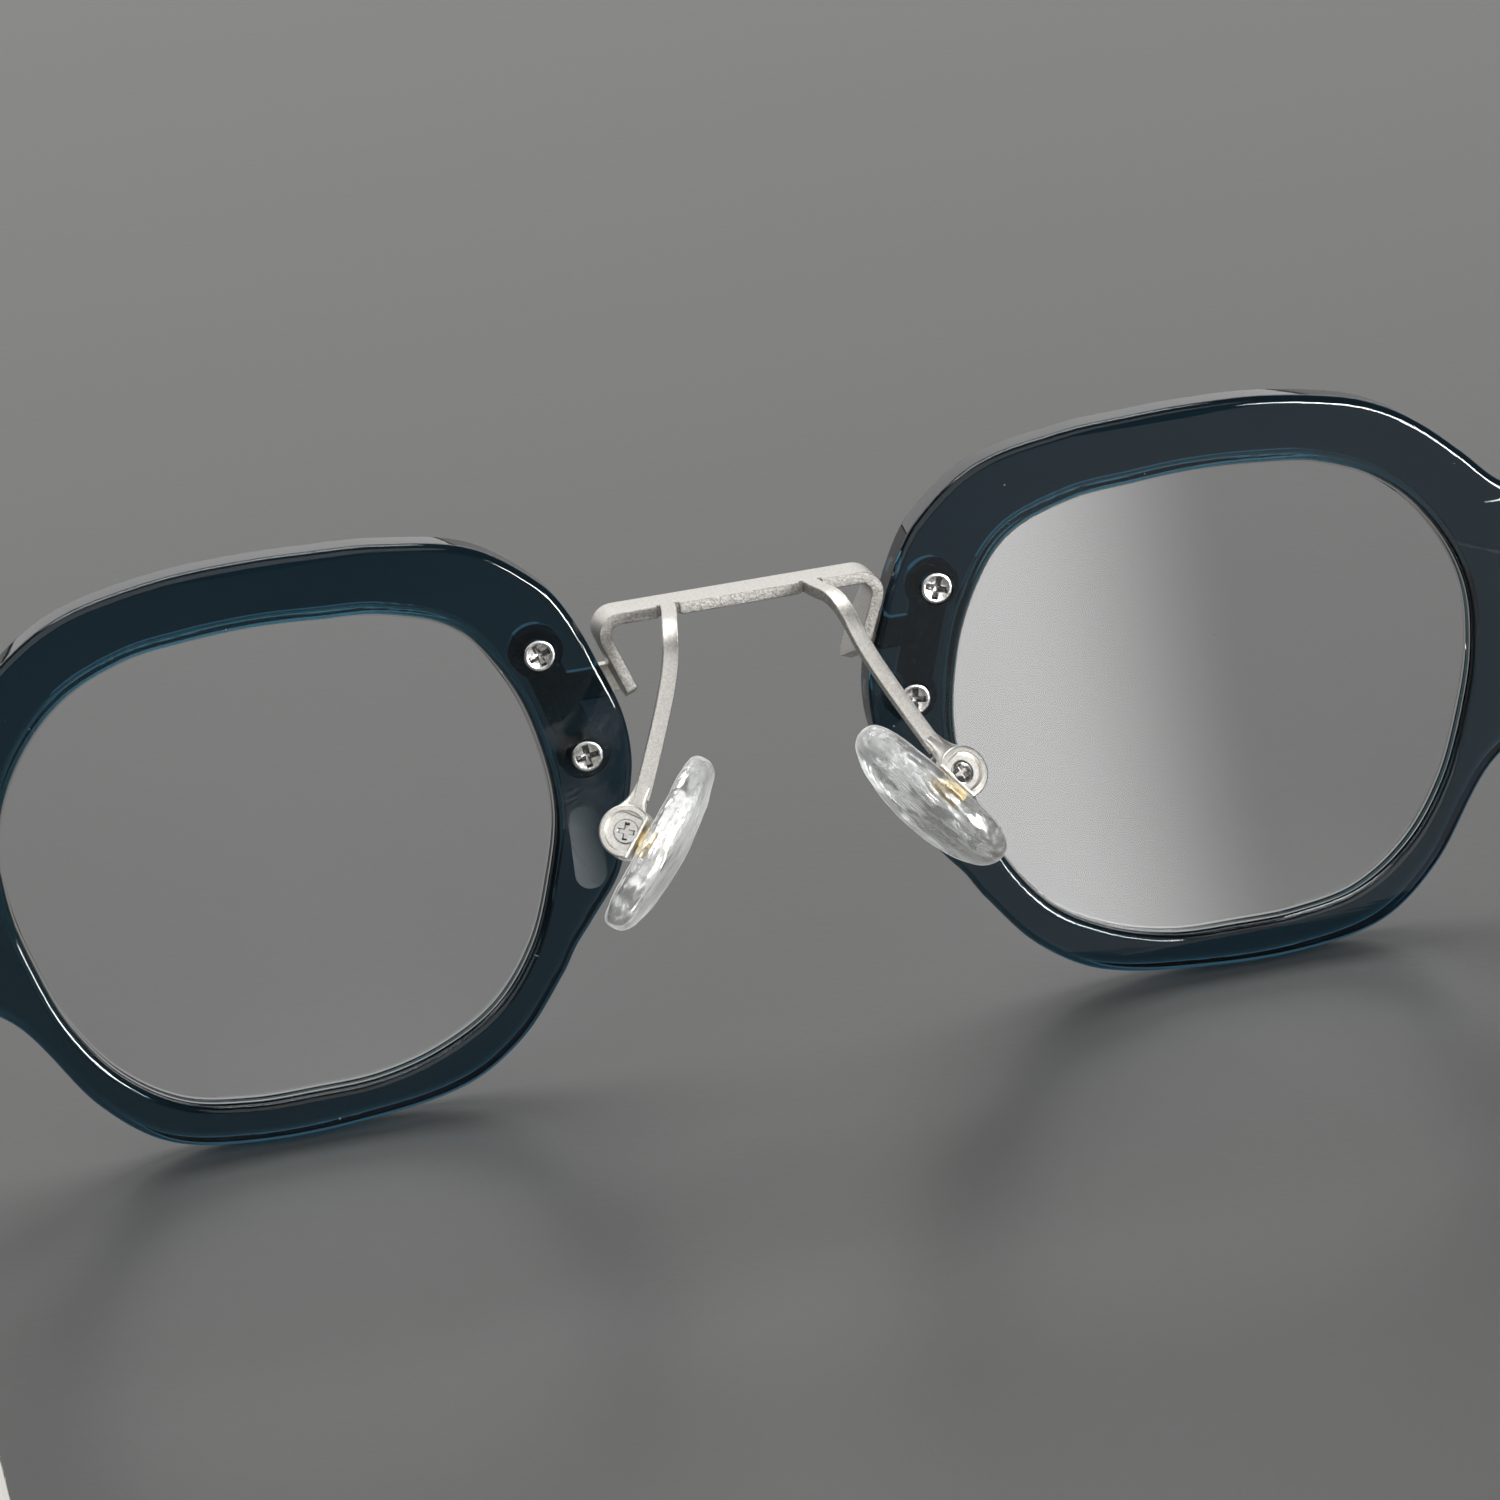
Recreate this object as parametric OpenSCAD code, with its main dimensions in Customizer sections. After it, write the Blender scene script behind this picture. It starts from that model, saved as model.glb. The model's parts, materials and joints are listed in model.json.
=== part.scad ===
// Square eyeglasses: two acetate rims joined by a bent sheet-metal bridge.
// The front is drawn upright, with its back face on y = 0, +y away from the wearer,
// x = 0 midway between the eyes and z = 0 at the middle of the lens openings.
// Right-hand pieces are drawn and left-hand ones mirrored. At the end the whole is leaned
// and lifted so that the rims and the temple tips stand on z = 0.

/* [Rims] */
// Distance from the centre of the front to the middle of a lens opening
eye_x = 33.9; // [32:0.1:36]
// Width of a lens opening
open_w = 38.8; // [36:0.1:41]
// Height of a lens opening
open_h = 34.2; // [31:0.1:37]
// Thickness of the acetate
rim_t = 3.2; // [3:0.1:4.2]
// Width of the rim above the lens
rim_top = 4.7; // [3.8:0.05:6]
// Width of the rim below the lens
rim_low = 2.75; // [2.4:0.05:4]
// Width of the rim beside the lens, below the lugs
rim_side = 2.2; // [1.9:0.05:3]
// How far the nasal flange reaches from the middle of the opening
flange_reach = 25.2; // [24.6:0.1:26]
// How far the temporal lug reaches from the middle of the opening
lug_reach = 29.3; // [28.6:0.1:31]
// Height of the temporal lug's upper edge
lug_top = 9.9; // [9:0.1:10.5]
// Height of the temporal lug's lower edge
lug_low = -4.2; // [-5.5:0.1:-4]

/* [Lenses] */
// Thickness of a lens
lens_t = 1.6; // [1.2:0.1:2]
// Radius of a lens's back surface
lens_r = 220; // [160:5:400]
// Depth of the lens groove in the rim
groove_deep = 0.7; // [0.5:0.05:0.8]
// Width of the lens groove
groove_w = 0.9; // [0.7:0.05:1]
// Distance of the groove from the rim's back face
groove_y = 1.1; // [0.9:0.05:1.15]

/* [Bridge] */
// Thickness of the sheet that the bridge is cut from
sheet_t = 0.85; // [0.7:0.05:1.1]
// Height of the bridge's top face
bridge_top = 14.2; // [13:0.1:17]
// Depth of the bridge's ribbon from front to back
ribbon_deep = 3.3; // [2.8:0.1:4]
// How far the ribbon stands behind the rims
ribbon_back = 1.5; // [1:0.05:2.2]
// Middle radius of the bends at the ribbon's ends
bend_r = 1.15; // [0.8:0.05:1.5]
// Distance of a strip's cut end from the flange of its rim
strip_gap = 0.49; // [0.3:0.01:0.9]
// Height of a strip's cut end
strip_z = 8.2; // [7.8:0.1:8.8]
// Slant of the strips
strip_slant = 20.7; // [16:0.1:28]

/* [Pad arms] */
// Distance of an arm's root from the cut end of the strip beside it
arm_in = 3.09; // [2.6:0.01:3.5]
// Width of a pad arm
arm_w = 1.1; // [0.9:0.02:1.4]
// Length of the level stretch behind the ribbon
arm_shelf = 2.7; // [2:0.1:3.2]
// Sideways drift of that stretch
arm_kick = 1.1; // [0.8:0.05:1.8]
// Downward bend of a pad arm
arm_bend = 65.2; // [62:0.1:68]
// Inner radius of that bend
arm_r = 3.3; // [2.6:0.1:3.8]
// Length of the drop from the bend to the pad bracket, as seen from the side
arm_drop = 8.9; // [8.4:0.1:9.6]
// Sideways drift of that drop
arm_out = 4.4; // [3.6:0.1:5]

/* [Nose pads] */
// Radius of a pad bracket
box_r = 1.85; // [1.75:0.05:2.2]
// Length of a pad bracket along its screw
box_l = 3; // [2.8:0.1:3.4]
// Distance from the screw to the bracket's flat side
box_flat = 0.9; // [0.8:0.05:1]
// Width of the slot that the pad's insert turns in
slot_w = 1.1; // [0.9:0.05:1.3]
// Length of a nose pad
pad_l = 13.2; // [12:0.1:15]
// Width of a nose pad
pad_w = 6.7; // [6:0.1:8]
// Thickness of a nose pad
pad_t = 2.5; // [2.1:0.1:3]
// Distance from the screw to the pad's back
pad_gap = 1.35; // [1.3:0.05:1.7]
// Turn of a pad about the vertical
pad_splay = 32; // [24:1:38]
// Turn of a pad as seen from the front
pad_flare = 29.8; // [22:0.1:36]
// Turn of a pad as seen from the side
pad_pitch = 26.6; // [20:0.1:32]

/* [Plates and screws] */
// Thickness of the metal plates let into the rims' front
plate_t = 1; // [0.8:0.05:1.1]
// Radius of a plate's lobe round its screw
lobe_r = 1.9; // [1.6:0.05:2]
// Radius of a rim screw's head
head_r = 1.12; // [1:0.02:1.25]
// Height of a rim screw's head
head_h = 0.65; // [0.5:0.05:0.8]
// Radius of a rim screw's shank
shank_r = 0.6; // [0.5:0.02:0.7]
// Height of the tab that joins a bridge plate to its strip
tab_h = 2.05; // [1.6:0.05:2.4]
// Height of the end piece that wraps round the lug
wrap_h = 4.4; // [3.8:0.1:5]

/* [Hinges] */
// Radius of a hinge barrel
barrel_r = 1.25; // [1.1:0.05:1.5]
// Height of each outer barrel
barrel_h = 2; // [1.6:0.1:2.4]
// Height of the middle barrel
middle_h = 2.3; // [2:0.1:2.8]
// Radius of a hinge screw's shank
pin_r = 0.6; // [0.5:0.02:0.7]
// Height of the hinges above the middle of the lenses
hinge_z = 2; // [1:0.1:3]
// Distance of the hinge screw behind the rims
hinge_back = 3; // [2.9:0.1:3.6]

/* [Temples] */
// Thickness of a temple's metal blade
blade_t = 1.1; // [0.9:0.05:1.3]
// Height of the blade at the hinge
blade_h = 4.4; // [3.6:0.1:5]
// Height of the blade where the tip begins
blade_low_h = 2.6; // [2.2:0.1:3.2]
// Height of the blade's core inside the tip
core_h = 1.6; // [1.3:0.1:2]
// Distance from the hinge to the bend behind the ear
bend_at = 98; // [90:1:106]
// Length of the drop behind the ear
drop_l = 42; // [36:1:48]
// Downward slope of a temple
slope = 8; // [5:0.5:10]
// Further bend behind the ear
drop_bend = 33; // [26:1:38]
// Radius of the bend behind the ear
ear_r = 26; // [18:1:34]
// Length of the acetate tip before the bend
tip_before = 2; // [1:0.5:8]
// Thickness of the acetate tip
tip_t = 2.8; // [2.4:0.1:3.4]
// Height of the tip at its mouth
tip_mouth_h = 4; // [3.4:0.1:4.6]
// Height of the tip at its end
tip_end_h = 5.8; // [5:0.1:7]

/* [Hidden] */
$fn = 64;
acetate = [0.1, 0.2, 0.25];
titanium = [0.78, 0.77, 0.74];
brass = [0.8, 0.65, 0.35];
silicone = [0.85, 0.88, 0.9];
glass = [0.85, 0.9, 0.9, 0.4];

// Clearances: between fixed pieces, round a turning shank, and between moving faces
snug = 0.05;
run = 0.05;
free = 0.1;
over = 1;

// How far a plate's tab reaches in from the rim's edge, and the height of the bar between its lobes
plate_reach = 5;
bar_h = 2.6;

// Half sizes of the lens opening, and the largest half width of the whole front
hw = open_w / 2;
hh = open_h / 2;
edge_x = eye_x + lug_reach;
strip_x = eye_x - flange_reach - strip_gap;
arm_x = strip_x - arm_in;

// Knots of the lens opening, clockwise from the top, as shares of the half sizes
opening_knots = [for (k = [
    [0, 0.998], [0.25, 0.983], [0.471, 0.946], [0.709, 0.824], [0.891, 0.604], [0.997, 0.324],
    [1, 0.02], [0.939, -0.265], [0.846, -0.534], [0.696, -0.77], [0.486, -0.935], [0.239, -0.993],
    [0, -0.998], [-0.238, -0.986], [-0.475, -0.913], [-0.694, -0.768], [-0.852, -0.538],
    [-0.943, -0.267], [-0.998, 0.02], [-0.974, 0.316], [-0.889, 0.602], [-0.73, 0.848],
    [-0.478, 0.96], [-0.23, 0.986]]) [k[0] * hw, k[1] * hh]];

// Knots of the rim's outside, clockwise from the top, with its lug, hollows and nasal flange
top_z = hh + rim_top;
low_z = -hh - rim_low;
low_w = hw + rim_side;
outside_knots = [
    [0, top_z], [5.5, top_z - 0.25], [11.2, top_z - 1.25], [14.3, top_z - 2.4], [17.2, top_z - 4.3],
    [19.9, top_z - 6.7], [22.5, top_z - 9.2], [lug_reach - 3.4, lug_top + 1],
    [lug_reach - 1, lug_top - 0.6], [lug_reach, lug_top - 3], [lug_reach, lug_top - 4],
    [lug_reach, lug_low + 4], [lug_reach, lug_low + 3],
    [lug_reach - 1, lug_low + 0.9], [lug_reach - 3.4, lug_low - 0.6],
    [low_w + 0.9, lug_low - 2.4], [low_w - 0.7, lug_low - 3.4], [low_w - 1.9, lug_low - 4.5],
    [low_w - 3, low_z + 9.7], [low_w - 6.4, low_z + 4.7], [low_w - 10.7, low_z + 1.3],
    [low_w - 16.7, low_z + 0.1], [-2.8, low_z + 0.2], [11.2 - low_w, low_z + 1.4],
    [6.7 - low_w, low_z + 4.1], [3.2 - low_w, low_z + 8.3], [2 - low_w, low_z + 10.2],
    [0.7 - low_w, low_z + 11.8], [1.8 - flange_reach, low_z + 15.2], [0.6 - flange_reach, 0.1],
    [-flange_reach, 3.3], [0.25 - flange_reach, 6.6], [1.5 - flange_reach, 10.3],
    [2.9 - flange_reach, top_z - 8], [-20.4, top_z - 5.1], [-15.8, top_z - 1.75],
    [-9.3, top_z - 0.4], [-4.5, top_z - 0.1]];
opening_curve = smooth(opening_knots, 4);
outside_curve = smooth(outside_knots, 4);

// Screw places on a rim, from the middle of its opening and of its flange's width
flange_mid = -(hw + flange_reach) / 2;
bridge_screw_at = [[flange_mid + 2.75, 11.75], [flange_mid + 0.3, 4]];
end_screw_at = [[lug_reach - 4.9, hinge_z + 4.4], [lug_reach - 4.9, hinge_z - 4.4]];

// The ribbon's bend and the straight of a strip, in the front view
strip_dir = [sin(strip_slant), cos(strip_slant)];
strip_end = [strip_x, strip_z];
ribbon_mid = bridge_top - sheet_t / 2;
ribbon_corner = [strip_x + (ribbon_mid - strip_z) * tan(strip_slant), ribbon_mid];
tab_z = strip_z - 0.5;
strip_more = 1.2;

// The bend of a pad arm, its end, and the screw head on the outer face of its bracket
arm_mid_r = arm_r + sheet_t / 2;
bend_at_arm = [arm_x + arm_kick, -ribbon_back - arm_shelf, bridge_top - sheet_t - arm_r];
arm_end = bend_at_arm + [arm_out, -arm_mid_r * sin(arm_bend) - arm_drop * cos(arm_bend),
    arm_mid_r * cos(arm_bend) - arm_drop * sin(arm_bend)];
box_at = arm_end + [1.4, -1.3, -1.65];
pad_mid = [2, 0.4];

// The hinge line and the temple's side view
blade_x = edge_x + snug + blade_t / 2;
pin_x = edge_x + snug - free - barrel_r;
hinge_h = 2 * barrel_h + middle_h + 2 * free;
butt_y = -1.7;
blade_start = [butt_y, hinge_z + (butt_y + hinge_back) * tan(slope)];
ear = [-hinge_back - bend_at * cos(slope), hinge_z - bend_at * sin(slope)];
tip_end = ear + drop_l * [-cos(slope + drop_bend), -sin(slope + drop_bend)];
tip_r = tip_end_h / 2;

// The lean that brings the rims' lower front edge and the tips down to one floor
outline_z = [for (p = outside_curve) p[1]];
rim_floor = min(outline_z);
rim_crest = max(outline_z);
stand_run = rim_t - tip_end[0];
stand_drop = rim_floor - tip_end[1];
lean = atan2(stand_drop, stand_run) + asin(tip_r / norm([stand_run, stand_drop]));
lift = rim_t * sin(lean) - rim_floor * cos(lean);
front_most = rim_t * cos(lean) + rim_crest * sin(lean);
rear_most = tip_end[0] * cos(lean) + tip_end[1] * sin(lean) - tip_r;
y_shift = -(front_most + rear_most) / 2;

// Points of one rounded corner at b between two neighbours, at the distance g to its left
function corner(a, b, c, g) =
    let (p = [b[0], b[1]], u = unit(p - a), v = unit(c - p),
        turn = atan2(u[0] * v[1] - u[1] * v[0], u * v),
        s = sign(turn),
        centre = p - u * b[2] * tan(abs(turn) / 2) + s * b[2] * [-u[1], u[0]],
        start = atan2(u[1], u[0]) - s * 90,
        steps = max(2, ceil(abs(turn) / 5)))
    [for (i = [0:steps])
        let (angle = start + turn * i / steps)
        centre + (b[2] - s * g) * [cos(angle), sin(angle)]];

// A closed smooth curve through knots, with some steps from each knot to the next
function one(list, i) = list[(i + len(list)) % len(list)];
function unit(v) = v / norm(v);
function smooth(knots, steps) = [for (i = [0:len(knots) - 1])
    let (b = knots[i], c = one(knots, i + 1), gap = norm(c - b),
        leave = gap * unit(c - one(knots, i - 1)), arrive = gap * unit(one(knots, i + 2) - b))
    for (t = [0:1 / steps:1 - 0.5 / steps])
        (2 * t ^ 3 - 3 * t ^ 2 + 1) * b + (t ^ 3 - 2 * t ^ 2 + t) * leave
            + (3 * t ^ 2 - 2 * t ^ 3) * c + (t ^ 3 - t ^ 2) * arrive];

// A closed curve drawn clockwise, grown outwards by g
function grown(points, g) = [for (i = [0:len(points) - 1])
    let (v = unit(one(points, i + 1) - one(points, i - 1)))
    points[i] + g * [-v[1], v[0]]];

// One side of a band that bends once between three points, at the distance d from its middle
function band_side(a, b, c, r, d) =
    let (u = unit(b - a), v = unit(c - b))
    concat([a + d * [-u[1], u[0]]], corner(a, [b[0], b[1], r], c, d), [c + d * [-v[1], v[0]]]);

function band(a, b, c, r, w) =
    concat(band_side(a, b, c, r, w / 2), reversed(band_side(a, b, c, r, -w / 2)));

function reversed(list) = [for (i = [len(list) - 1:-1:0]) list[i]];

// Places the finished drawing on the floor, on the right or mirrored to the left
module stance(side) {
    translate([0, y_shift, lift])
        rotate([-lean, 0, 0])
            mirror([side < 0 ? 1 : 0, 0, 0])
                children();
}

// A front-view outline given thickness from y0 to y1
module slab(y0, y1) {
    translate([0, y1, 0])
        rotate([90, 0, 0])
            linear_extrude(y1 - y0)
                children();
}

// A side-view outline given thickness from x0 to x1
module side_slab(x0, x1) {
    translate([x0, 0, 0])
        rotate([90, 0, 90])
            linear_extrude(x1 - x0)
                children();
}

// A rod along y from y0 to y1 at a place of the front view
module rod(at, r, y0, y1) {
    translate([at[0], y1, at[1]])
        rotate([90, 0, 0])
            cylinder(r = r, h = y1 - y0);
}

// Front view of a plate with two lobes, grown by g
module lobes(places, g) {
    gap = places[1] - places[0];
    for (p = places)
        translate(p)
            circle(r = lobe_r + g);
    translate((places[0] + places[1]) / 2)
        rotate(atan2(gap[1], gap[0]))
            square([norm(gap), bar_h + 2 * g], center = true);
}

module rim() {
    color(acetate)
        translate([eye_x, 0, 0])
            difference() {
                slab(0, rim_t)
                    polygon(outside_curve);
                slab(-over, rim_t + over)
                    polygon(opening_curve);
                slab(groove_y, groove_y + groove_w)
                    polygon(grown(opening_curve, groove_deep));
                for (p = concat(bridge_screw_at, end_screw_at)) {
                    rod(p, head_r + snug, -over, head_h - snug);
                    rod(p, shank_r + snug, 0, rim_t);
                }
                slab(rim_t - plate_t - snug, rim_t + over) {
                    lobes(bridge_screw_at, snug);
                    translate([-flange_reach - over, tab_z - snug])
                        square([plate_reach + over, tab_h + 2 * snug]);
                    lobes(end_screw_at, snug);
                    translate([lug_reach - plate_reach, hinge_z - wrap_h / 2 - snug])
                        square([plate_reach + over, wrap_h + 2 * snug]);
                }
                pad_recess();
            }
}

// The round-bottomed recess in the flange's back, beside the pad bracket
module pad_recess() {
    r = 1.2;
    x = 4 - flange_reach;
    y = -0.35;
    top = -0.65;
    low = -4.45;
    translate([x, y, low])
        cylinder(r = r, h = top - low);
    for (z = [low, top])
        translate([x, y, z])
            sphere(r = r);
}

module lens() {
    apex = rim_t - lens_t - 0.1;
    color(glass)
        translate([eye_x, 0, 0]) {
            intersection() {
                slab(-over, rim_t + over)
                    polygon(grown(opening_curve, -snug));
                difference() {
                    translate([0, apex + lens_t - lens_r - lens_t, 0])
                        sphere(r = lens_r + lens_t, $fn = 200);
                    translate([0, apex - lens_r, 0])
                        sphere(r = lens_r, $fn = 200);
                }
            }
            difference() {
                slab(groove_y + snug, groove_y + groove_w - snug)
                    polygon(grown(opening_curve, groove_deep - snug));
                slab(-over, rim_t + over)
                    polygon(grown(opening_curve, -1));
            }
        }
}

// Front view of the whole ribbon with its two bends and strips
module ribbon_outline() {
    right = band([0, ribbon_mid], ribbon_corner, strip_end - strip_more * strip_dir, bend_r, sheet_t);
    polygon(right);
    mirror([1, 0])
        polygon(right);
}

// Side view that the ribbon is trimmed to: its strips widen forwards and are cut off slanted
module ribbon_side() {
    front = ribbon_deep - ribbon_back;
    polygon([
        [-ribbon_back, bridge_top + over], [front, bridge_top + over], [front, bridge_top - 1.4],
        [rim_t, tab_z + tab_h + 0.1], [rim_t, tab_z - 0.1], [rim_t - 0.5, tab_z - 0.5],
        [0.4 - ribbon_back, strip_z + 0.2], [-ribbon_back, bridge_top - 1.4]]);
}

// A pad arm: a level stretch, a wide bend down, and a drop that slants away from the nose
module pad_arm() {
    half = arm_w / 2;
    inside = 0.6;
    shoulder = -1.2;
    shift = bend_at_arm[0] - arm_x;
    translate([arm_x, -ribbon_back, bridge_top - sheet_t])
        linear_extrude(sheet_t)
            polygon([[-half, inside], [half, inside], [half, shoulder], [half + shift, -arm_shelf],
                [shift - half, -arm_shelf], [-half, shoulder]]);
    translate(bend_at_arm)
        rotate([0, 90, 0])
            rotate([0, 0, 180])
                translate([0, 0, -half])
                    rotate_extrude(angle = arm_bend)
                        translate([arm_r, 0])
                            square([sheet_t, arm_w]);
    difference() {
        translate(bend_at_arm)
            rotate([arm_bend, 0, 0])
                translate([0, 0, arm_r])
                    linear_extrude(sheet_t)
                        polygon(band([0, 0], [0, shoulder], arm_tip(2), 4, arm_w));
        pad_frame()
            rod([0, 0], box_r + 0.01, -over, box_l + over);
    }
}

// The end of a drop's middle line in the plane of the drop, carried further by some length
function arm_tip(more) =
    let (v = [arm_out, 1.2 - arm_drop])
    [0, -1.2] + v * (1 + more / norm(v));

module bridge() {
    color(titanium)
        stance(1)
            difference() {
                union() {
                    intersection() {
                        slab(-ribbon_back, rim_t)
                            ribbon_outline();
                        side_slab(-eye_x, eye_x)
                            ribbon_side();
                    }
                    for (side = [0, 1])
                        mirror([side, 0, 0])
                            pad_arm();
                }
                for (side = [0, 1])
                    mirror([side, 0, 0])
                        arm_reliefs();
            }
}

// The small notches cut beside an arm's root before it is bent
module arm_reliefs() {
    wide = 0.25;
    deep = 0.45;
    for (x = [arm_x - arm_w / 2 - wide, arm_x + arm_w / 2])
        translate([x, -ribbon_back - 0.01, bridge_top - sheet_t - over])
            cube([wide, deep, sheet_t + 2 * over]);
}

module bridge_plate() {
    color(titanium)
        difference() {
            slab(rim_t - plate_t, rim_t)
                difference() {
                    union() {
                        translate([eye_x, 0])
                            lobes(bridge_screw_at, 0);
                        translate([strip_x, tab_z])
                            square([strip_gap + plate_reach, tab_h]);
                    }
                    strip_cut();
                }
            translate([eye_x, 0, 0])
                for (p = bridge_screw_at)
                    rod(p, shank_r + 0.02, 0, rim_t + over);
        }
}

// Everything on the nose side of a strip's outer face, in the front view
module strip_cut() {
    outer = strip_end + sheet_t / 2 * [strip_dir[1], -strip_dir[0]];
    far = 8;
    polygon([outer - far * strip_dir, outer + far * strip_dir,
        outer + far * strip_dir - [far, 0], outer - far * strip_dir - [far, 0]]);
}

// A screw that enters from the back, with a cross in its head
module rim_screw(at, length) {
    proud = 0.1;
    difference() {
        union() {
            rod(at, head_r, -proud, head_h - proud);
            rod(at, shank_r, head_h - proud - 0.1, length);
        }
        cross(at, -proud, 1.35, 0.36, 0.35);
    }
}

// A cross recess in a screw's head: its width, the width of its arms and its depth
module cross(at, y, size, arm, deep) {
    for (turn = [0, 90])
        translate([at[0], y - 0.1 + deep / 2, at[1]])
            rotate([0, turn + 20, 0])
                cube([size, deep + 0.2, arm], center = true);
}

module screw_pair(places) {
    color(titanium)
        translate([eye_x, 0, 0])
            for (p = places)
                rim_screw(p, rim_t - 0.25);
}

// The pad bracket's own frame: x away from the nose, y forwards along the screw, z up the pad
module pad_frame() {
    translate(box_at)
        rotate([-pad_pitch, -pad_flare, pad_splay])
            children();
}

module pad_box() {
    seat_r = box_r - 0.5;
    cheek = (box_l - slot_w) / 2;
    color(titanium)
        pad_frame()
            difference() {
                rod([0, 0], box_r, 0, box_l);
                translate([-box_flat - 5, -over, -5])
                    cube([5, box_l + 2 * over, 10]);
                translate([-box_flat - over, cheek, -5])
                    cube([box_flat + over + 1.25, slot_w, 10]);
                rod([0, 0], seat_r, -over, 0.2);
                rod([0, 0], 0.9, -over, 0.5);
                rod([0, 0], 0.5, 0, box_l + over);
            }
}

module pad_screw() {
    color(titanium)
        pad_frame()
            difference() {
                union() {
                    rod([0, 0], 0.85, 0.05, 0.5);
                    rod([0, 0], 0.45, 0.4, box_l - 0.05);
                }
                cross([0, 0], 0.05, 1.1, 0.28, 0.25);
            }
}

// The metal insert: a tongue that turns in the bracket and a plate moulded into the pad
module pad_insert() {
    tongue = slot_w - 2 * run;
    plate_x = -pad_gap - pad_t * 0.55;
    color(brass)
        pad_frame()
            difference() {
                union() {
                    rod([0, 0], 0.95, box_l / 2 - tongue / 2, box_l / 2 + tongue / 2);
                    translate([plate_x, box_l / 2 - tongue / 2, -0.8])
                        cube([-plate_x, tongue, 1.6]);
                    translate([plate_x - 0.25, pad_mid[0] - 1.9, pad_mid[1] - 4])
                        cube([0.5, 3.8, 8]);
                }
                rod([0, 0], 0.45 + run, -over, box_l + over);
            }
}

// Outline of a pad, an oval that is fuller at its lower end
function pad_outline(g) = [for (a = [0:6:354])
    let (swell = 1 - 0.09 * sin(a))
    [pad_mid[0] + (pad_w / 2 + g) * swell * sign(cos(a)) * pow(abs(cos(a)), 0.86),
        pad_mid[1] + (pad_l / 2 + g) * sign(sin(a)) * pow(abs(sin(a)), 0.94)]];

module nose_pad() {
    front_r = 25;
    back_r = 60;
    tongue = slot_w - 2 * run;
    plate_x = -pad_gap - pad_t * 0.55;
    color(silicone)
        pad_frame()
            difference() {
                intersection() {
                    side_slab(-pad_gap - pad_t - over, 0)
                        polygon(pad_outline(0));
                    translate([front_r - pad_gap - pad_t, pad_mid[0], pad_mid[1]])
                        sphere(r = front_r, $fn = 120);
                }
                translate([back_r - pad_gap, pad_mid[0], pad_mid[1]])
                    sphere(r = back_r, $fn = 120);
                translate([plate_x, box_l / 2 - tongue / 2 - 0.02, -0.82])
                    cube([-plate_x, tongue + 0.04, 1.64]);
                translate([plate_x - 0.27, pad_mid[0] - 1.92, pad_mid[1] - 4.02])
                    cube([0.54, 3.84, 8.04]);
            }
}

// The metal end piece: a plate in the rim's front that wraps back round the lug
module end_piece() {
    color(titanium)
        difference() {
            union() {
                slab(rim_t - plate_t, rim_t) {
                    translate([eye_x, 0])
                        lobes(end_screw_at, 0);
                    translate([edge_x - plate_reach, hinge_z - wrap_h / 2])
                        square([plate_reach + snug + blade_t, wrap_h]);
                }
                translate([edge_x + snug, butt_y + free, hinge_z - wrap_h / 2])
                    cube([blade_t, rim_t - butt_y - free, wrap_h]);
            }
            translate([eye_x, 0, 0])
                for (p = end_screw_at)
                    rod(p, shank_r + 0.02, 0, rim_t + over);
        }
}

// Barrels of one hinge leaf, each given as its lower end and height
module barrels(list) {
    for (b = list)
        translate([pin_x, -hinge_back, b[0]])
            cylinder(r = barrel_r, h = b[1]);
}

module pin_hole(r) {
    translate([pin_x, -hinge_back, hinge_z - hinge_h])
        cylinder(r = r, h = 2 * hinge_h);
}

module front_hinge() {
    low = hinge_z - hinge_h / 2;
    upper = hinge_z + middle_h / 2 + free;
    inner_x = pin_x - 0.7;
    color(titanium)
        difference() {
            union() {
                barrels([[low, barrel_h], [upper, barrel_h]]);
                translate([inner_x, butt_y + free, low])
                    cube([edge_x + snug - inner_x, -snug - butt_y - free, hinge_h]);
                for (z = [low, upper])
                    translate([pin_x - 0.3, -hinge_back, z])
                        cube([barrel_r + 0.3, hinge_back + butt_y + free + 0.2, barrel_h]);
            }
            pin_hole(pin_r + 0.02);
        }
}

module temple_hinge() {
    low = hinge_z - middle_h / 2;
    leaf_in = pin_x + 0.4;
    color(titanium)
        difference() {
            union() {
                barrels([[low, middle_h]]);
                translate([leaf_in, -hinge_back - 7, low])
                    cube([edge_x + snug - leaf_in, 7, middle_h]);
            }
            pin_hole(pin_r + run);
        }
}

module hinge_screw() {
    top = hinge_z + hinge_h / 2;
    color(titanium)
        difference() {
            union() {
                translate([pin_x, -hinge_back, hinge_z - hinge_h / 2])
                    cylinder(r = pin_r, h = hinge_h + 0.1);
                translate([pin_x, -hinge_back, top])
                    cylinder(r = 1, h = 0.6);
            }
            translate([pin_x - over, -hinge_back - 0.15, top + 0.3])
                cube([2 * over, 0.3, over]);
        }
}

// Side view of the temple's middle line carried back to a length along its drop
function drop_point(share) = ear + share * (tip_end - ear);

// One side of a side-view band that tapers along its middle line from one half height to another
function edge_of(points, h0, h1) =
    let (n = len(points) - 1)
    [for (i = [0:n])
        let (dir = unit(points[min(n, i + 1)] - points[max(0, i - 1)]),
            share = norm(points[i] - points[0]) / norm(points[n] - points[0]))
        points[i] + (h0 + (h1 - h0) * share) * [-dir[1], dir[0]]];

function taper(points, h0, h1) =
    concat(edge_of(points, h0 / 2, h1 / 2), reversed(edge_of(points, -h0 / 2, -h1 / 2)));

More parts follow.
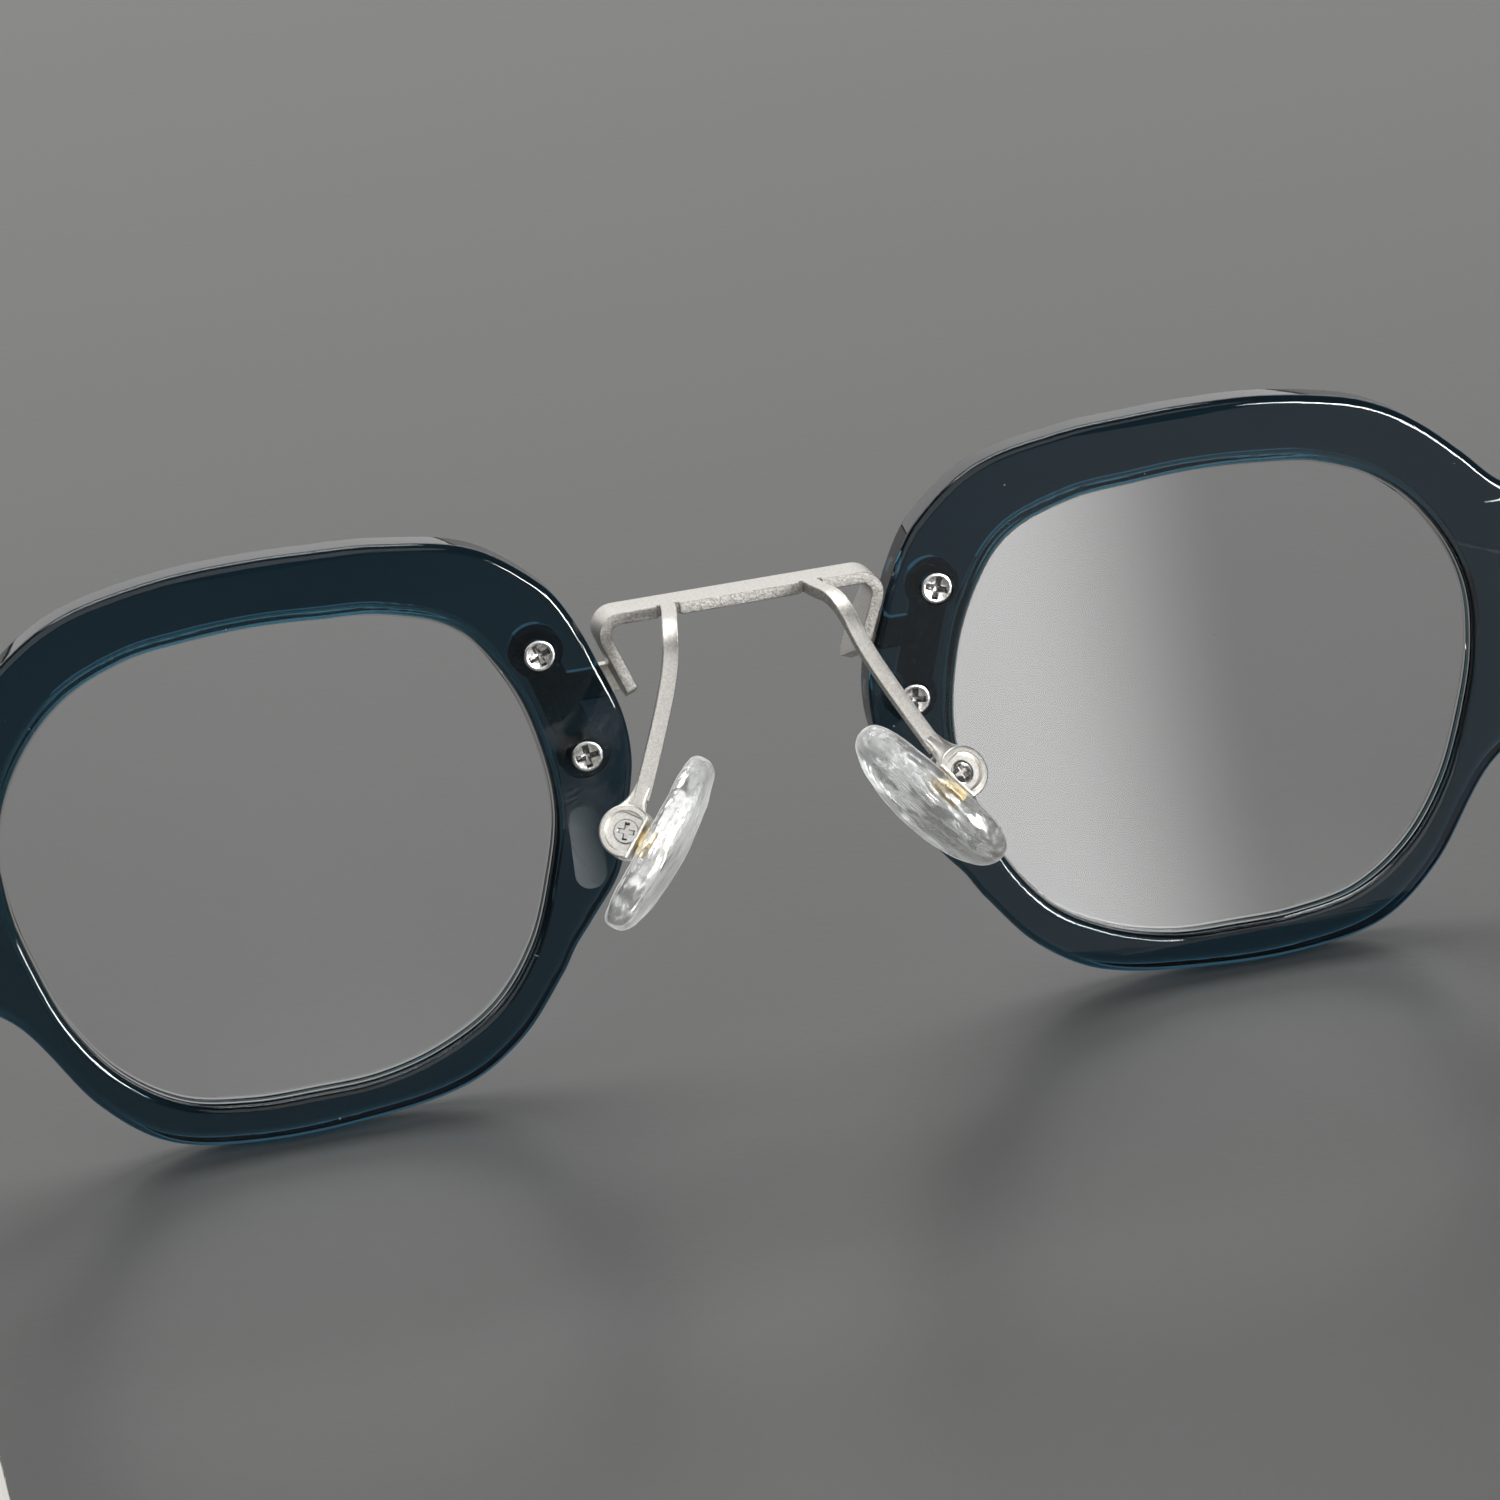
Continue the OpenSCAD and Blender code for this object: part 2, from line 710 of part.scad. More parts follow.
// The same band with a round end
function paddle(points, h0, h1) =
    let (n = len(points) - 1, dir = unit(points[n] - points[n - 1]),
        start = atan2(dir[0], -dir[1]))
    concat(edge_of(points, h0 / 2, h1 / 2),
        [for (a = [10:10:170]) points[n] + h1 / 2 * [cos(start - a), sin(start - a)]],
        reversed(edge_of(points, -h0 / 2, -h1 / 2)));

// The middle line from the hinge to the start of the ear bend, and round it to the end
bend_tan = ear_r * tan(drop_bend / 2);
straight_dir = [-cos(slope), -sin(slope)];
mouth = ear - (bend_tan + tip_before) * straight_dir;
round_the_ear = corner(blade_start, [ear[0], ear[1], ear_r], tip_end, 0);

module temple() {
    color(titanium)
        side_slab(edge_x + snug, edge_x + snug + blade_t) {
            difference() {
                polygon(taper([blade_start - over * straight_dir, mouth + over * straight_dir],
                    blade_h, blade_low_h));
                translate([butt_y, hinge_z - blade_h])
                    square([2 * blade_h, 2 * blade_h]);
            }
            polygon(taper(concat([mouth], round_the_ear, [drop_point(0.9)]), core_h, core_h));
        }
}

module temple_tip() {
    line = concat([mouth], round_the_ear, [tip_end]);
    color(acetate)
        difference() {
            side_slab(blade_x - tip_t / 2, blade_x + tip_t / 2)
                polygon(paddle(line, tip_mouth_h, tip_end_h));
            side_slab(blade_x - blade_t / 2 - snug, blade_x + blade_t / 2 + snug) {
                polygon(taper([mouth - over * straight_dir, mouth + (1 + snug) * straight_dir],
                    blade_low_h + 0.6, blade_low_h + 2 * snug));
                polygon(taper(concat([mouth], round_the_ear, [drop_point(0.905)]),
                    core_h + 2 * snug, core_h + 2 * snug));
            }
        }
}

stance(-1) rim();  // rim_left
stance(1) rim();  // rim_right
stance(-1) lens();  // lens_left
stance(1) lens();  // lens_right
bridge();
stance(-1) bridge_plate();  // bridge_plate_left
stance(1) bridge_plate();  // bridge_plate_right
stance(-1) screw_pair(bridge_screw_at);  // bridge_screws_left
stance(1) screw_pair(bridge_screw_at);  // bridge_screws_right
stance(-1) pad_box();  // pad_box_left
stance(1) pad_box();  // pad_box_right
stance(-1) pad_screw();  // pad_screw_left
stance(1) pad_screw();  // pad_screw_right
stance(-1) pad_insert();  // pad_insert_left
stance(1) pad_insert();  // pad_insert_right
stance(-1) nose_pad();  // nose_pad_left
stance(1) nose_pad();  // nose_pad_right
stance(-1) end_piece();  // end_piece_left
stance(1) end_piece();  // end_piece_right
stance(-1) screw_pair(end_screw_at);  // end_screws_left
stance(1) screw_pair(end_screw_at);  // end_screws_right
stance(-1) front_hinge();  // front_hinge_left
stance(1) front_hinge();  // front_hinge_right
stance(-1) hinge_screw();  // hinge_screw_left
stance(1) hinge_screw();  // hinge_screw_right
stance(-1) temple_hinge();  // temple_hinge_left
stance(1) temple_hinge();  // temple_hinge_right
stance(-1) temple();  // temple_left
stance(1) temple();  // temple_right
stance(-1) temple_tip();  // temple_tip_left
stance(1) temple_tip();  // temple_tip_right
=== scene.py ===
"""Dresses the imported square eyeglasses: thick teal acetate rims, a bent sheet-metal bridge with
nose pads on arms, and folding metal temples with acetate tips.

Pieces are drawn upright in millimetres, as the solids are: x to the right, y away from the
wearer, z up, with the rims' back face on y = 0. Each finished mesh is then placed on the floor.
"""

import json
from math import asin, atan2, cos, pi, radians, sin, sqrt, tan

import bmesh
import bpy
import numpy as np
from bpy.props import FloatProperty, FloatVectorProperty, PointerProperty
from mathutils import Matrix, Vector, noise
from mathutils.geometry import delaunay_2d_cdt, tessellate_polygon

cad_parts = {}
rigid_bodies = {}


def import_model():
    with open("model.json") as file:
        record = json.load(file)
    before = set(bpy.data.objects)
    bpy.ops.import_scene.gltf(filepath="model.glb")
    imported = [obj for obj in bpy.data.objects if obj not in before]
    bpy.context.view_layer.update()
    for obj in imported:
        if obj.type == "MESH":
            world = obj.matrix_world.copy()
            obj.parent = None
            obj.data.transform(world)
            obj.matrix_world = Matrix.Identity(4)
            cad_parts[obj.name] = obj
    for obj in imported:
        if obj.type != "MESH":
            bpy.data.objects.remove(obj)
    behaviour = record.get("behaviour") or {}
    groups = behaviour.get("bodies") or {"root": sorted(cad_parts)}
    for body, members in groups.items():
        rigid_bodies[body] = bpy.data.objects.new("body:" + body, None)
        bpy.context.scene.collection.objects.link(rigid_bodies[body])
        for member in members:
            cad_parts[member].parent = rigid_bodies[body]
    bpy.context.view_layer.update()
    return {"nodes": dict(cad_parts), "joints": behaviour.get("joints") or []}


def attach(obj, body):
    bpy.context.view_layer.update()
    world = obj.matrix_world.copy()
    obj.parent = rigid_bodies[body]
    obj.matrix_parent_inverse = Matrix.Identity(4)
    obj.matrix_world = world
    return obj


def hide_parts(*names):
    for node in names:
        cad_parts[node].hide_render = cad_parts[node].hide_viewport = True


bl_info = {
    "name": "Square Eyeglasses",
    "version": (1, 0, 0),
    "blender": (4, 5, 0),
    "location": "3D View > Sidebar > Eyewear",
    "description": "Rims, lenses, sheet-metal bridge, nose pads and temples of eyeglasses",
    "category": "Add Mesh",
}

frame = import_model()

SIDES = {"left": -1, "right": 1}

# A millimetre of the drawing in metres, and the drawing's sizes as the solids have them
MM = 0.001
EYE_X = 33.9
HALF_W, HALF_H = 19.4, 17.1
RIM_T = 3.2
TOP_Z = HALF_H + 4.7
LOW_Z = -HALF_H - 2.75
LOW_W = HALF_W + 2.2
FLANGE = 25.2
LUG, LUG_TOP, LUG_LOW = 29.3, 9.9, -4.2
GROOVE_Y, GROOVE_W, GROOVE_DEEP = 1.1, 0.9, 0.7
SNUG = 0.05
LENS_T, LENS_R = 1.6, 220.0
LENS_APEX = RIM_T - LENS_T - 0.1
# A plate let into a rim: its thickness, its lobes' radius, half its bar's height and its reach
PLATE_T, LOBE_R, BAR_HALF, PLATE_REACH = 1.0, 1.95, 1.35, 5
HINGE_Z, HINGE_BACK = 2.0, 3.0
BRIDGE_SCREWS = ((-19.55, 11.75), (-22.0, 4.0))
END_SCREWS = ((LUG - 4.9, HINGE_Z + 4.4), (LUG - 4.9, HINGE_Z - 4.4))
TAB_Z, TAB_H = 7.7, 2.05
WRAP_H = 4.4
SHEET_T = 0.85
RIBBON_MID = 14.2 - SHEET_T / 2
BOX_AT = (12.02, -12.6146, 1.8832)
BOX_R, BOX_L, BOX_FLAT = 1.85, 3.0, 0.98
PAD_TURNS = (-26.6, -29.8, 32.0)
PAD_MID = (2.0, 0.4)
PAD_W, PAD_L, PAD_T, PAD_GAP = 6.7, 13.2, 2.5, 1.35

OPENING_SHARES = (
    (0, 0.998), (0.25, 0.983), (0.471, 0.946), (0.709, 0.824), (0.891, 0.604), (0.997, 0.324),
    (1, 0.02), (0.939, -0.265), (0.846, -0.534), (0.696, -0.77), (0.486, -0.935), (0.239, -0.993),
    (0, -0.998), (-0.238, -0.986), (-0.475, -0.913), (-0.694, -0.768), (-0.852, -0.538),
    (-0.943, -0.267), (-0.998, 0.02), (-0.974, 0.316), (-0.889, 0.602), (-0.73, 0.848),
    (-0.478, 0.96), (-0.23, 0.986),
)
OUTSIDE_KNOTS = (
    (0, TOP_Z), (5.5, TOP_Z - 0.25), (11.2, TOP_Z - 1.25), (14.3, TOP_Z - 2.4),
    (17.2, TOP_Z - 4.3), (19.9, TOP_Z - 6.7), (22.5, TOP_Z - 9.2), (LUG - 3.4, LUG_TOP + 1),
    (LUG - 1, LUG_TOP - 0.6), (LUG, LUG_TOP - 3), (LUG, LUG_TOP - 4), (LUG, LUG_LOW + 4),
    (LUG, LUG_LOW + 3), (LUG - 1, LUG_LOW + 0.9), (LUG - 3.4, LUG_LOW - 0.6),
    (LOW_W + 0.9, LUG_LOW - 2.4), (LOW_W - 0.7, LUG_LOW - 3.4),
    (LOW_W - 1.9, LUG_LOW - 4.5), (LOW_W - 3, LOW_Z + 9.7), (LOW_W - 6.4, LOW_Z + 4.7),
    (LOW_W - 10.7, LOW_Z + 1.3), (LOW_W - 16.7, LOW_Z + 0.1), (-2.8, LOW_Z + 0.2),
    (11.2 - LOW_W, LOW_Z + 1.4), (6.7 - LOW_W, LOW_Z + 4.1), (3.2 - LOW_W, LOW_Z + 8.3),
    (2 - LOW_W, LOW_Z + 10.2), (0.7 - LOW_W, LOW_Z + 11.8), (1.8 - FLANGE, LOW_Z + 15.2),
    (0.6 - FLANGE, 0.1), (-FLANGE, 3.3), (0.25 - FLANGE, 6.6), (1.5 - FLANGE, 10.3),
    (2.9 - FLANGE, TOP_Z - 8), (-20.4, TOP_Z - 5.1), (-15.8, TOP_Z - 1.75), (-9.3, TOP_Z - 0.4),
    (-4.5, TOP_Z - 0.1),
)


# Placing: from the upright drawing in millimetres to the leaning eyeglasses in metres
def placing():
    fold = next(j for j in frame["joints"] if j["name"] == "temple_fold_left")
    lean = atan2(fold["axis"][1], fold["axis"][2])
    y, z = -HINGE_BACK, HINGE_Z
    shift = fold["pos_m"][1] * 1000 - (y * cos(lean) + z * sin(lean))
    lift = fold["pos_m"][2] * 1000 - (z * cos(lean) - y * sin(lean))
    turn = Matrix.Rotation(-lean, 4, "X")
    return Matrix.Scale(MM, 4) @ Matrix.Translation((0, shift, lift)) @ turn, turn


PLACE, LEANING = placing()
SAME = Matrix.Identity(4)
MIRROR = Matrix.Diagonal((-1, 1, 1, 1))
AT_EYE = Matrix.Translation((EYE_X, 0, 0))
# Columns say where a mesh's first, second and third coordinate go
FRONT_VIEW = Matrix(((1, 0, 0, 0), (0, 0, 1, 0), (0, 1, 0, 0), (0, 0, 0, 1)))
SIDE_VIEW = Matrix(((0, 0, 1, 0), (1, 0, 0, 0), (0, 1, 0, 0), (0, 0, 0, 1)))
# The largest share of a side that the round of one corner takes, so that two fit on it
HALF_SIDE = 0.49


def pad_turn():
    x, y, z = (Matrix.Rotation(radians(a), 4, axis) for a, axis in zip(PAD_TURNS, "XYZ"))
    return z @ y @ x


# The pad bracket's own frame: x away from the nose, y forwards along the screw, z up the pad
PAD_FRAME = Matrix.Translation(BOX_AT) @ pad_turn()


# Outlines
def unit(v):
    v = np.asarray(v, float)
    return v / np.linalg.norm(v)


def turned_by(angle, v):
    """A flat vector turned by an angle."""
    c, s = cos(angle), sin(angle)
    return np.array((c * v[0] - s * v[1], s * v[0] + c * v[1]))


def leftwards(along):
    """Unit vectors a quarter turn to the left of some flat vectors."""
    along = along / np.linalg.norm(along, axis=1)[:, None]
    return np.stack([-along[:, 1], along[:, 0]], 1)


def spline_loop(knots, steps):
    """A closed smooth curve through knots, with some steps from each knot to the next."""
    k = np.array(knots, float)
    after = np.roll(k, -1, 0)
    gap = np.linalg.norm(after - k, axis=1)[:, None]
    aim = after - np.roll(k, 1, 0)
    aim /= np.linalg.norm(aim, axis=1)[:, None]
    points = [
        (2 * t**3 - 3 * t**2 + 1) * k
        + (t**3 - 2 * t**2 + t) * gap * aim
        + (3 * t**2 - 2 * t**3) * after
        + (t**3 - t**2) * gap * np.roll(aim, -1, 0)
        for t in np.arange(steps) / steps
    ]
    return np.stack(points, 1).reshape(-1, 2)


def grown(loop, g):
    """A clockwise loop grown outwards by g."""
    return loop + g * leftwards(np.roll(loop, -1, 0) - np.roll(loop, 1, 0))


def clockwise(loop):
    x, y = np.array(loop).T
    area = np.sum(x * np.roll(y, -1) - np.roll(x, -1) * y)
    return np.array(loop)[::-1] if area > 0 else np.array(loop)


def rounded_loop(points, spacing, arc_steps=6):
    """A closed loop through (x, y, radius) corners, its long sides cut at a spacing."""
    out = []
    count = len(points)
    for i, (x, y, r) in enumerate(points):
        b = np.array((x, y))
        a = np.array(points[i - 1][:2])
        c = np.array(points[(i + 1) % count][:2])
        u, v = unit(b - a), unit(c - b)
        turn = asin(max(-1, min(1, u[0] * v[1] - u[1] * v[0])))
        if float(u @ v) < 0:
            turn = (pi - abs(turn)) * (1 if turn > 0 else -1)
        if r <= 0 or abs(turn) < 0.02:
            out.append(b)
            continue
        sides = (np.linalg.norm(b - a), np.linalg.norm(c - b))
        reach = min(r * tan(abs(turn) / 2), *(HALF_SIDE * side for side in sides))
        r = reach / tan(abs(turn) / 2)
        sign = 1 if turn > 0 else -1
        start = b - u * reach
        centre = start + sign * r * np.array((-u[1], u[0]))
        from_centre = start - centre
        out += [centre + turned_by(turn * k / arc_steps, from_centre) for k in range(arc_steps + 1)]
    dense = []
    for p, q in zip(out, out[1:] + out[:1]):
        parts = max(1, int(np.ceil(np.linalg.norm(q - p) / spacing)))
        dense.extend(p + (q - p) * k / parts for k in range(parts))
    return np.array(dense)


def arc(r, angles, at=(0, 0)):
    return np.stack([at[0] + r * np.cos(angles), at[1] + r * np.sin(angles)], 1)


def circle(r, count):
    return arc(r, -np.linspace(0, 2 * pi, count, endpoint=False))


def dumbbell(a, b, r, half):
    """Two round lobes joined by a straight bar."""
    a, b = np.array(a), np.array(b)
    base = atan2(*(b - a)[::-1])
    open_angle = asin(half / r)
    angles = np.linspace(open_angle, 2 * pi - open_angle, 40)
    return clockwise(np.concatenate([arc(r, base + angles, a), arc(r, base + pi + angles, b)]))


def rectangle(x0, x1, y0, y1):
    return clockwise([(x0, y0), (x0, y1), (x1, y1), (x1, y0)])


def edge_profile(low, high, r_low, r_high, side, steps=5):
    """(growth, depth) pairs down a wall with rounded edges; side is -1 outside, 1 in a hole."""
    turn = np.linspace(0, pi / 2, steps + 1)
    upper = [(side * r_high * (1 - sin(a)), high - r_high * (1 - cos(a))) for a in turn]
    lower = [(side * r_low * (1 - cos(a)), low + r_low * (1 - sin(a))) for a in turn]
    return upper + lower


# Meshes
def closed_mesh(name, verts, faces):
    mesh = bpy.data.meshes.new(name)
    mesh.from_pydata([tuple(map(float, v)) for v in verts], [], [tuple(f) for f in faces])
    face_outwards(mesh)
    return mesh


def face_outwards(mesh):
    bm = bmesh.new()
    bm.from_mesh(mesh)
    bmesh.ops.recalc_face_normals(bm, faces=bm.faces)
    bm.to_mesh(mesh)
    bm.free()


def join_rings(faces, start, count, rings):
    for k in range(rings - 1):
        for i in range(count):
            j = (i + 1) % count
            a = start + k * count
            faces.append((a + i, a + j, a + count + j, a + count + i))


def slab(name, walls):
    """A closed slab. Each wall is a loop and its profile, the outside first and then the holes."""
    verts, faces, caps = [], [], ([], [])
    for loop, profile in walls:
        count, start = len(loop), len(verts)
        for g, depth in profile:
            verts.extend((p[0], p[1], depth) for p in grown(loop, g))
        join_rings(faces, start, count, len(profile))
        caps[0].append(range(start, start + count))
        caps[1].append(range(start + (len(profile) - 1) * count, start + len(profile) * count))
    for cap in caps:
        index = [i for ring in cap for i in ring]
        rings = [[Vector((*verts[i][:2], 0)) for i in ring] for ring in cap]
        faces.extend([index[i] for i in triangle] for triangle in tessellate_polygon(rings))
    return closed_mesh(name, verts, faces)


def prism(name, loop, low, high):
    return slab(name, [(loop, [(0, high), (0, low)])])


def ring_body(name, rings, centres):
    """A closed body from rings of equal count, closed at each end by a fan to a centre."""
    count = len(rings[0])
    verts = [p for ring in rings for p in ring] + list(centres)
    faces = []
    join_rings(faces, 0, count, len(rings))
    last = (len(rings) - 1) * count
    for i in range(count):
        j = (i + 1) % count
        faces.append((i, j, len(verts) - 2))
        faces.append((last + i, last + j, len(verts) - 1))
    return closed_mesh(name, verts, faces)


def turned(name, profile, count=48):
    """A body turned about the third axis from (radius, depth) pairs."""
    rings = [[(*p, depth) for p in circle(r, count)] for r, depth in profile]
    return ring_body(name, rings, [(0, 0, profile[0][1]), (0, 0, profile[-1][1])])


def merged(name, meshes):
    """Several meshes as one, each with a matrix."""
    bm = bmesh.new()
    for mesh, matrix in meshes:
        part = mesh.copy()
        part.transform(matrix)
        bm.from_mesh(part)
        bpy.data.meshes.remove(part)
    mesh = bpy.data.meshes.new(name)
    bm.to_mesh(mesh)
    bm.free()
    return mesh


def new_object(name, mesh):
    obj = bpy.data.objects.new(name, mesh)
    bpy.context.scene.collection.objects.link(obj)
    return obj


def baked(obj):
    """The object's mesh with its modifiers applied."""
    graph = bpy.context.evaluated_depsgraph_get()
    mesh = bpy.data.meshes.new_from_object(obj.evaluated_get(graph), depsgraph=graph)
    obj.modifiers.clear()
    obj.data = mesh
    return mesh


def cut_away(mesh, cutters):
    """A mesh with other closed meshes cut out of it, one after another."""
    body = new_object("blank", mesh)
    for cutter in cutters:
        tool = new_object("tool", cutter)
        cut = body.modifiers.new("cut", "BOOLEAN")
        cut.operation, cut.solver, cut.object = "DIFFERENCE", "EXACT", tool
        baked(body)
        bpy.data.objects.remove(tool)
    result = body.data
    bpy.data.objects.remove(body)
    return result


def softened(mesh, angle):
    """Smooth shading that keeps edges sharper than an angle, in degrees."""
    mesh.shade_smooth()
    mesh.set_sharp_from_angle(angle=radians(angle))


def even_shading(obj, keep_sharp):
    even = obj.modifiers.new("even shading", "WEIGHTED_NORMAL")
    even.keep_sharp = keep_sharp
    even.weight = 60


def finished_object(name, mesh, slot):
    """An object that wears a slot's finish, and nothing else."""
    mesh.name = name
    mesh.materials.clear()
    mesh.materials.append(finish_of(slot))
    return new_object(name, mesh)


def settle(mesh, name, side, body, node, slot, angle=33, weighted=True):
    """Places a drawn mesh on the floor, on its side, as the piece that stands for a node."""
    mesh = mesh.copy()
    mesh.transform(PLACE @ (MIRROR if side < 0 else SAME))
    face_outwards(mesh)
    softened(mesh, angle)
    obj = finished_object(name, mesh, slot)
    if weighted:
        even_shading(obj, True)
    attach(obj, body)
    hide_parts(node)


def settle_pair(mesh, name, body, node, slot, **shading):
    """A right-hand mesh settled on both sides."""
    for side_name, side in SIDES.items():
        own = body if body == "front" else f"{body}_{side_name}"
        settle(mesh, f"{name}_{side_name}", side, own, f"{node}_{side_name}", slot, **shading)


def eased_copy(node, name, body, slot, width):
    """A node's own shape with its edges eased, standing for it."""
    mesh = frame["nodes"][node].data.copy()
    bm = bmesh.new()
    bm.from_mesh(mesh)
    bmesh.ops.remove_doubles(bm, verts=bm.verts, dist=2e-6)
    bmesh.ops.dissolve_limit(bm, angle_limit=radians(0.4), verts=bm.verts, edges=bm.edges)
    bmesh.ops.recalc_face_normals(bm, faces=bm.faces)
    bm.to_mesh(mesh)
    bm.free()
    obj = finished_object(name, mesh, slot)
    ease = obj.modifiers.new("eased edges", "BEVEL")
    ease.width = width
    ease.segments = 3
    ease.limit_method = "ANGLE"
    ease.angle_limit = radians(33)
    ease.use_clamp_overlap = True
    ease.harden_normals = False
    ease.miter_outer = "MITER_ARC"
    softened(mesh, 40)
    even_shading(obj, False)
    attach(obj, body)
    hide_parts(node)


# Materials
class Finish:
    """A material under construction."""

    def __init__(self, name):
        self.material = bpy.data.materials.new(f"{name}_finish")
        self.material.use_nodes = True
        self.tree = self.material.node_tree
        self.tree.nodes.clear()
        self.out = self.add("ShaderNodeOutputMaterial")
        self.shader = self.add("ShaderNodeBsdfPrincipled")
        self.where = self.add("ShaderNodeTexCoord").outputs["Object"]
        self.link(self.shader.outputs[0], self.out.inputs["Surface"])

    def add(self, kind, settings=None, **values):
        made = self.tree.nodes.new(kind)
        for name, value in (settings or {}).items():
            setattr(made, name, value)
        for name, value in values.items():
            made.inputs[name.replace("_", " ")].default_value = value
        return made

    def link(self, source, target):
        self.tree.links.new(source, target)

    def set(self, **values):
        for name, value in values.items():
            self.shader.inputs[name.replace("_", " ")].default_value = value

    def drive(self, name, source):
        self.link(source, self.shader.inputs[name])

    def attribute(self, name, output="Fac"):
        return self.add("ShaderNodeAttribute", {"attribute_name": name}).outputs[output]

    def squeezed(self, scale):
        """The place that textures read, scaled along each axis."""
        mapping = self.add("ShaderNodeMapping", Scale=scale)
        self.link(self.where, mapping.inputs["Vector"])
        return mapping.outputs[0]

    def noise(self, scale, detail=2.0, rough=0.5, stretch=None):
        made = self.add("ShaderNodeTexNoise", Scale=scale, Detail=detail, Roughness=rough)
        self.link(self.squeezed(stretch) if stretch else self.where, made.inputs["Vector"])
        return made.outputs["Fac"]

    def range(self, source, low, high, to_low, to_high):
        made = self.add("ShaderNodeMapRange")
        for socket, value in zip(made.inputs[1:5], (low, high, to_low, to_high)):
            socket.default_value = value
        self.link(source, made.inputs["Value"])
        return made.outputs[0]

    def product(self, *sources):
        made = self.add("ShaderNodeMath", {"operation": "MULTIPLY"})
        for source, socket in zip(sources, made.inputs):
            self.link(source, socket)
        return made.outputs[0]

    def blend(self, factor, low, high):
        made = self.add("ShaderNodeMix", {"data_type": "RGBA"})
        made.inputs[6].default_value = (*low, 1)
        made.inputs[7].default_value = (*high, 1)
        self.link(factor, made.inputs[0])
        return made.outputs[2]

    def bump(self, *layers):
        """Bumps one over another, each from a height, a strength and a distance in metres."""
        normal = None
        for height, strength, distance in layers:
            made = self.add("ShaderNodeBump", Strength=strength, Distance=distance)
            self.link(height, made.inputs["Height"])
            if normal:
                self.link(normal, made.inputs["Normal"])
            normal = made.outputs[0]
        self.drive("Normal", normal)
        return normal

    def over(self, factor, shader):
        """Covers what is there with another shader, as far as the factor says."""
        mix = self.add("ShaderNodeMixShader")
        self.link(factor, mix.inputs[0])
        self.link(self.out.inputs["Surface"].links[0].from_socket, mix.inputs[1])
        self.link(shader, mix.inputs[2])
        self.link(mix.outputs[0], self.out.inputs["Surface"])

    def specks(self, scale, radius, share, color):
        """Fine specks of dust that lie on the surface."""
        cells = self.add("ShaderNodeTexVoronoi", Scale=scale)
        self.link(self.where, cells.inputs["Vector"])
        spot = self.range(cells.outputs["Distance"], radius * 0.6, radius, 1, 0)
        chosen = self.add("ShaderNodeSeparateColor")
        self.link(cells.outputs["Color"], chosen.inputs[0])
        some = self.range(chosen.outputs[0], share, share + 0.02, 1, 0)
        dust = self.add("ShaderNodeBsdfDiffuse", Color=(*color, 1))
        self.over(self.product(spot, some), dust.outputs[0])

    def let_light_through(self, color, share):
        """Lamps shine through the piece and tint its shadow."""
        path = self.add("ShaderNodeLightPath")
        clear = self.add("ShaderNodeBsdfTransparent", Color=(*color, 1))
        part = self.add("ShaderNodeMath", {"operation": "MULTIPLY"})
        part.inputs[1].default_value = share
        self.link(path.outputs["Is Shadow Ray"], part.inputs[0])
        self.over(part.outputs[0], clear.outputs[0])


def acetate(colours):
    finish = Finish("teal_acetate")
    finish.set(Base_Color=(*colours.acetate, 1), Transmission_Weight=1, IOR=1.49)
    # The milled recess: rougher there, and the same values carry painted light for the frost below
    milled = finish.attribute("milled")
    finish.drive("Roughness", finish.range(milled, 0, 1, 0.02, 0.2))
    finish.bump((finish.noise(260, 1), 0.05, 0.0002), (finish.noise(2600, 2), 0.04, 0.00002))
    absorb = finish.add("ShaderNodeVolumeAbsorption", Density=colours.acetate_depth)
    absorb.inputs["Color"].default_value = (*colours.acetate_core, 1)
    finish.link(absorb.outputs[0], finish.out.inputs["Volume"])
    finish.specks(700, 0.055, 0.16, (0.75, 0.82, 0.85))
    # Grey frost on the milled recess, its amount painted lighter towards the recess's lower end and
    # its side away from the nose
    painted_light_frost = finish.add("ShaderNodeBsdfDiffuse", Color=(0.6, 0.65, 0.68, 1))
    finish.over(finish.range(milled, 0, 1, 0, 0.42), painted_light_frost.outputs[0])
    return finish.material


def lens_glass(colours):
    finish = Finish("clear_lens")
    finish.set(Base_Color=(*colours.lens, 1), Transmission_Weight=1, IOR=1.5, Roughness=0)
    finish.bump((finish.noise(60, 0), 0.015, 0.0002))
    finish.specks(320, 0.03, 0.06, (0.8, 0.82, 0.82))
    finish.let_light_through((0.9, 0.93, 0.93), 1)
    return finish.material


def satin_titanium(colours):
    """Blasted metal, pitted where the sheet was cut."""
    finish = Finish("satin_titanium")
    finish.set(Metallic=1)
    speckle = finish.range(finish.noise(5600, 3, 0.75), 0.32, 0.68, 0, 1)
    cut = finish.attribute("cut")
    grain = finish.noise(8200, 2, 0.7)
    grit = finish.noise(5200, 3, 0.75)
    pitted = finish.add("ShaderNodeMath", {"operation": "MULTIPLY_ADD"})
    finish.link(finish.range(grit, 0.36, 0.6, -0.34, 0), pitted.inputs[0])
    finish.link(cut, pitted.inputs[1])
    pitted.inputs[2].default_value = 1
    toned = finish.product(finish.range(speckle, 0, 1, 0.74, 1), pitted.outputs[0])
    bright = [min(1, c * 1.14) for c in colours.titanium]
    finish.drive("Base Color", finish.blend(toned, (0, 0, 0), bright))
    finish.drive("Roughness", finish.range(grain, 0.3, 0.7, 0.34, 0.5))
    finish.bump((grain, 0.8, 0.000018), (finish.product(grit, cut), 1.0, 0.00006))
    return finish.material


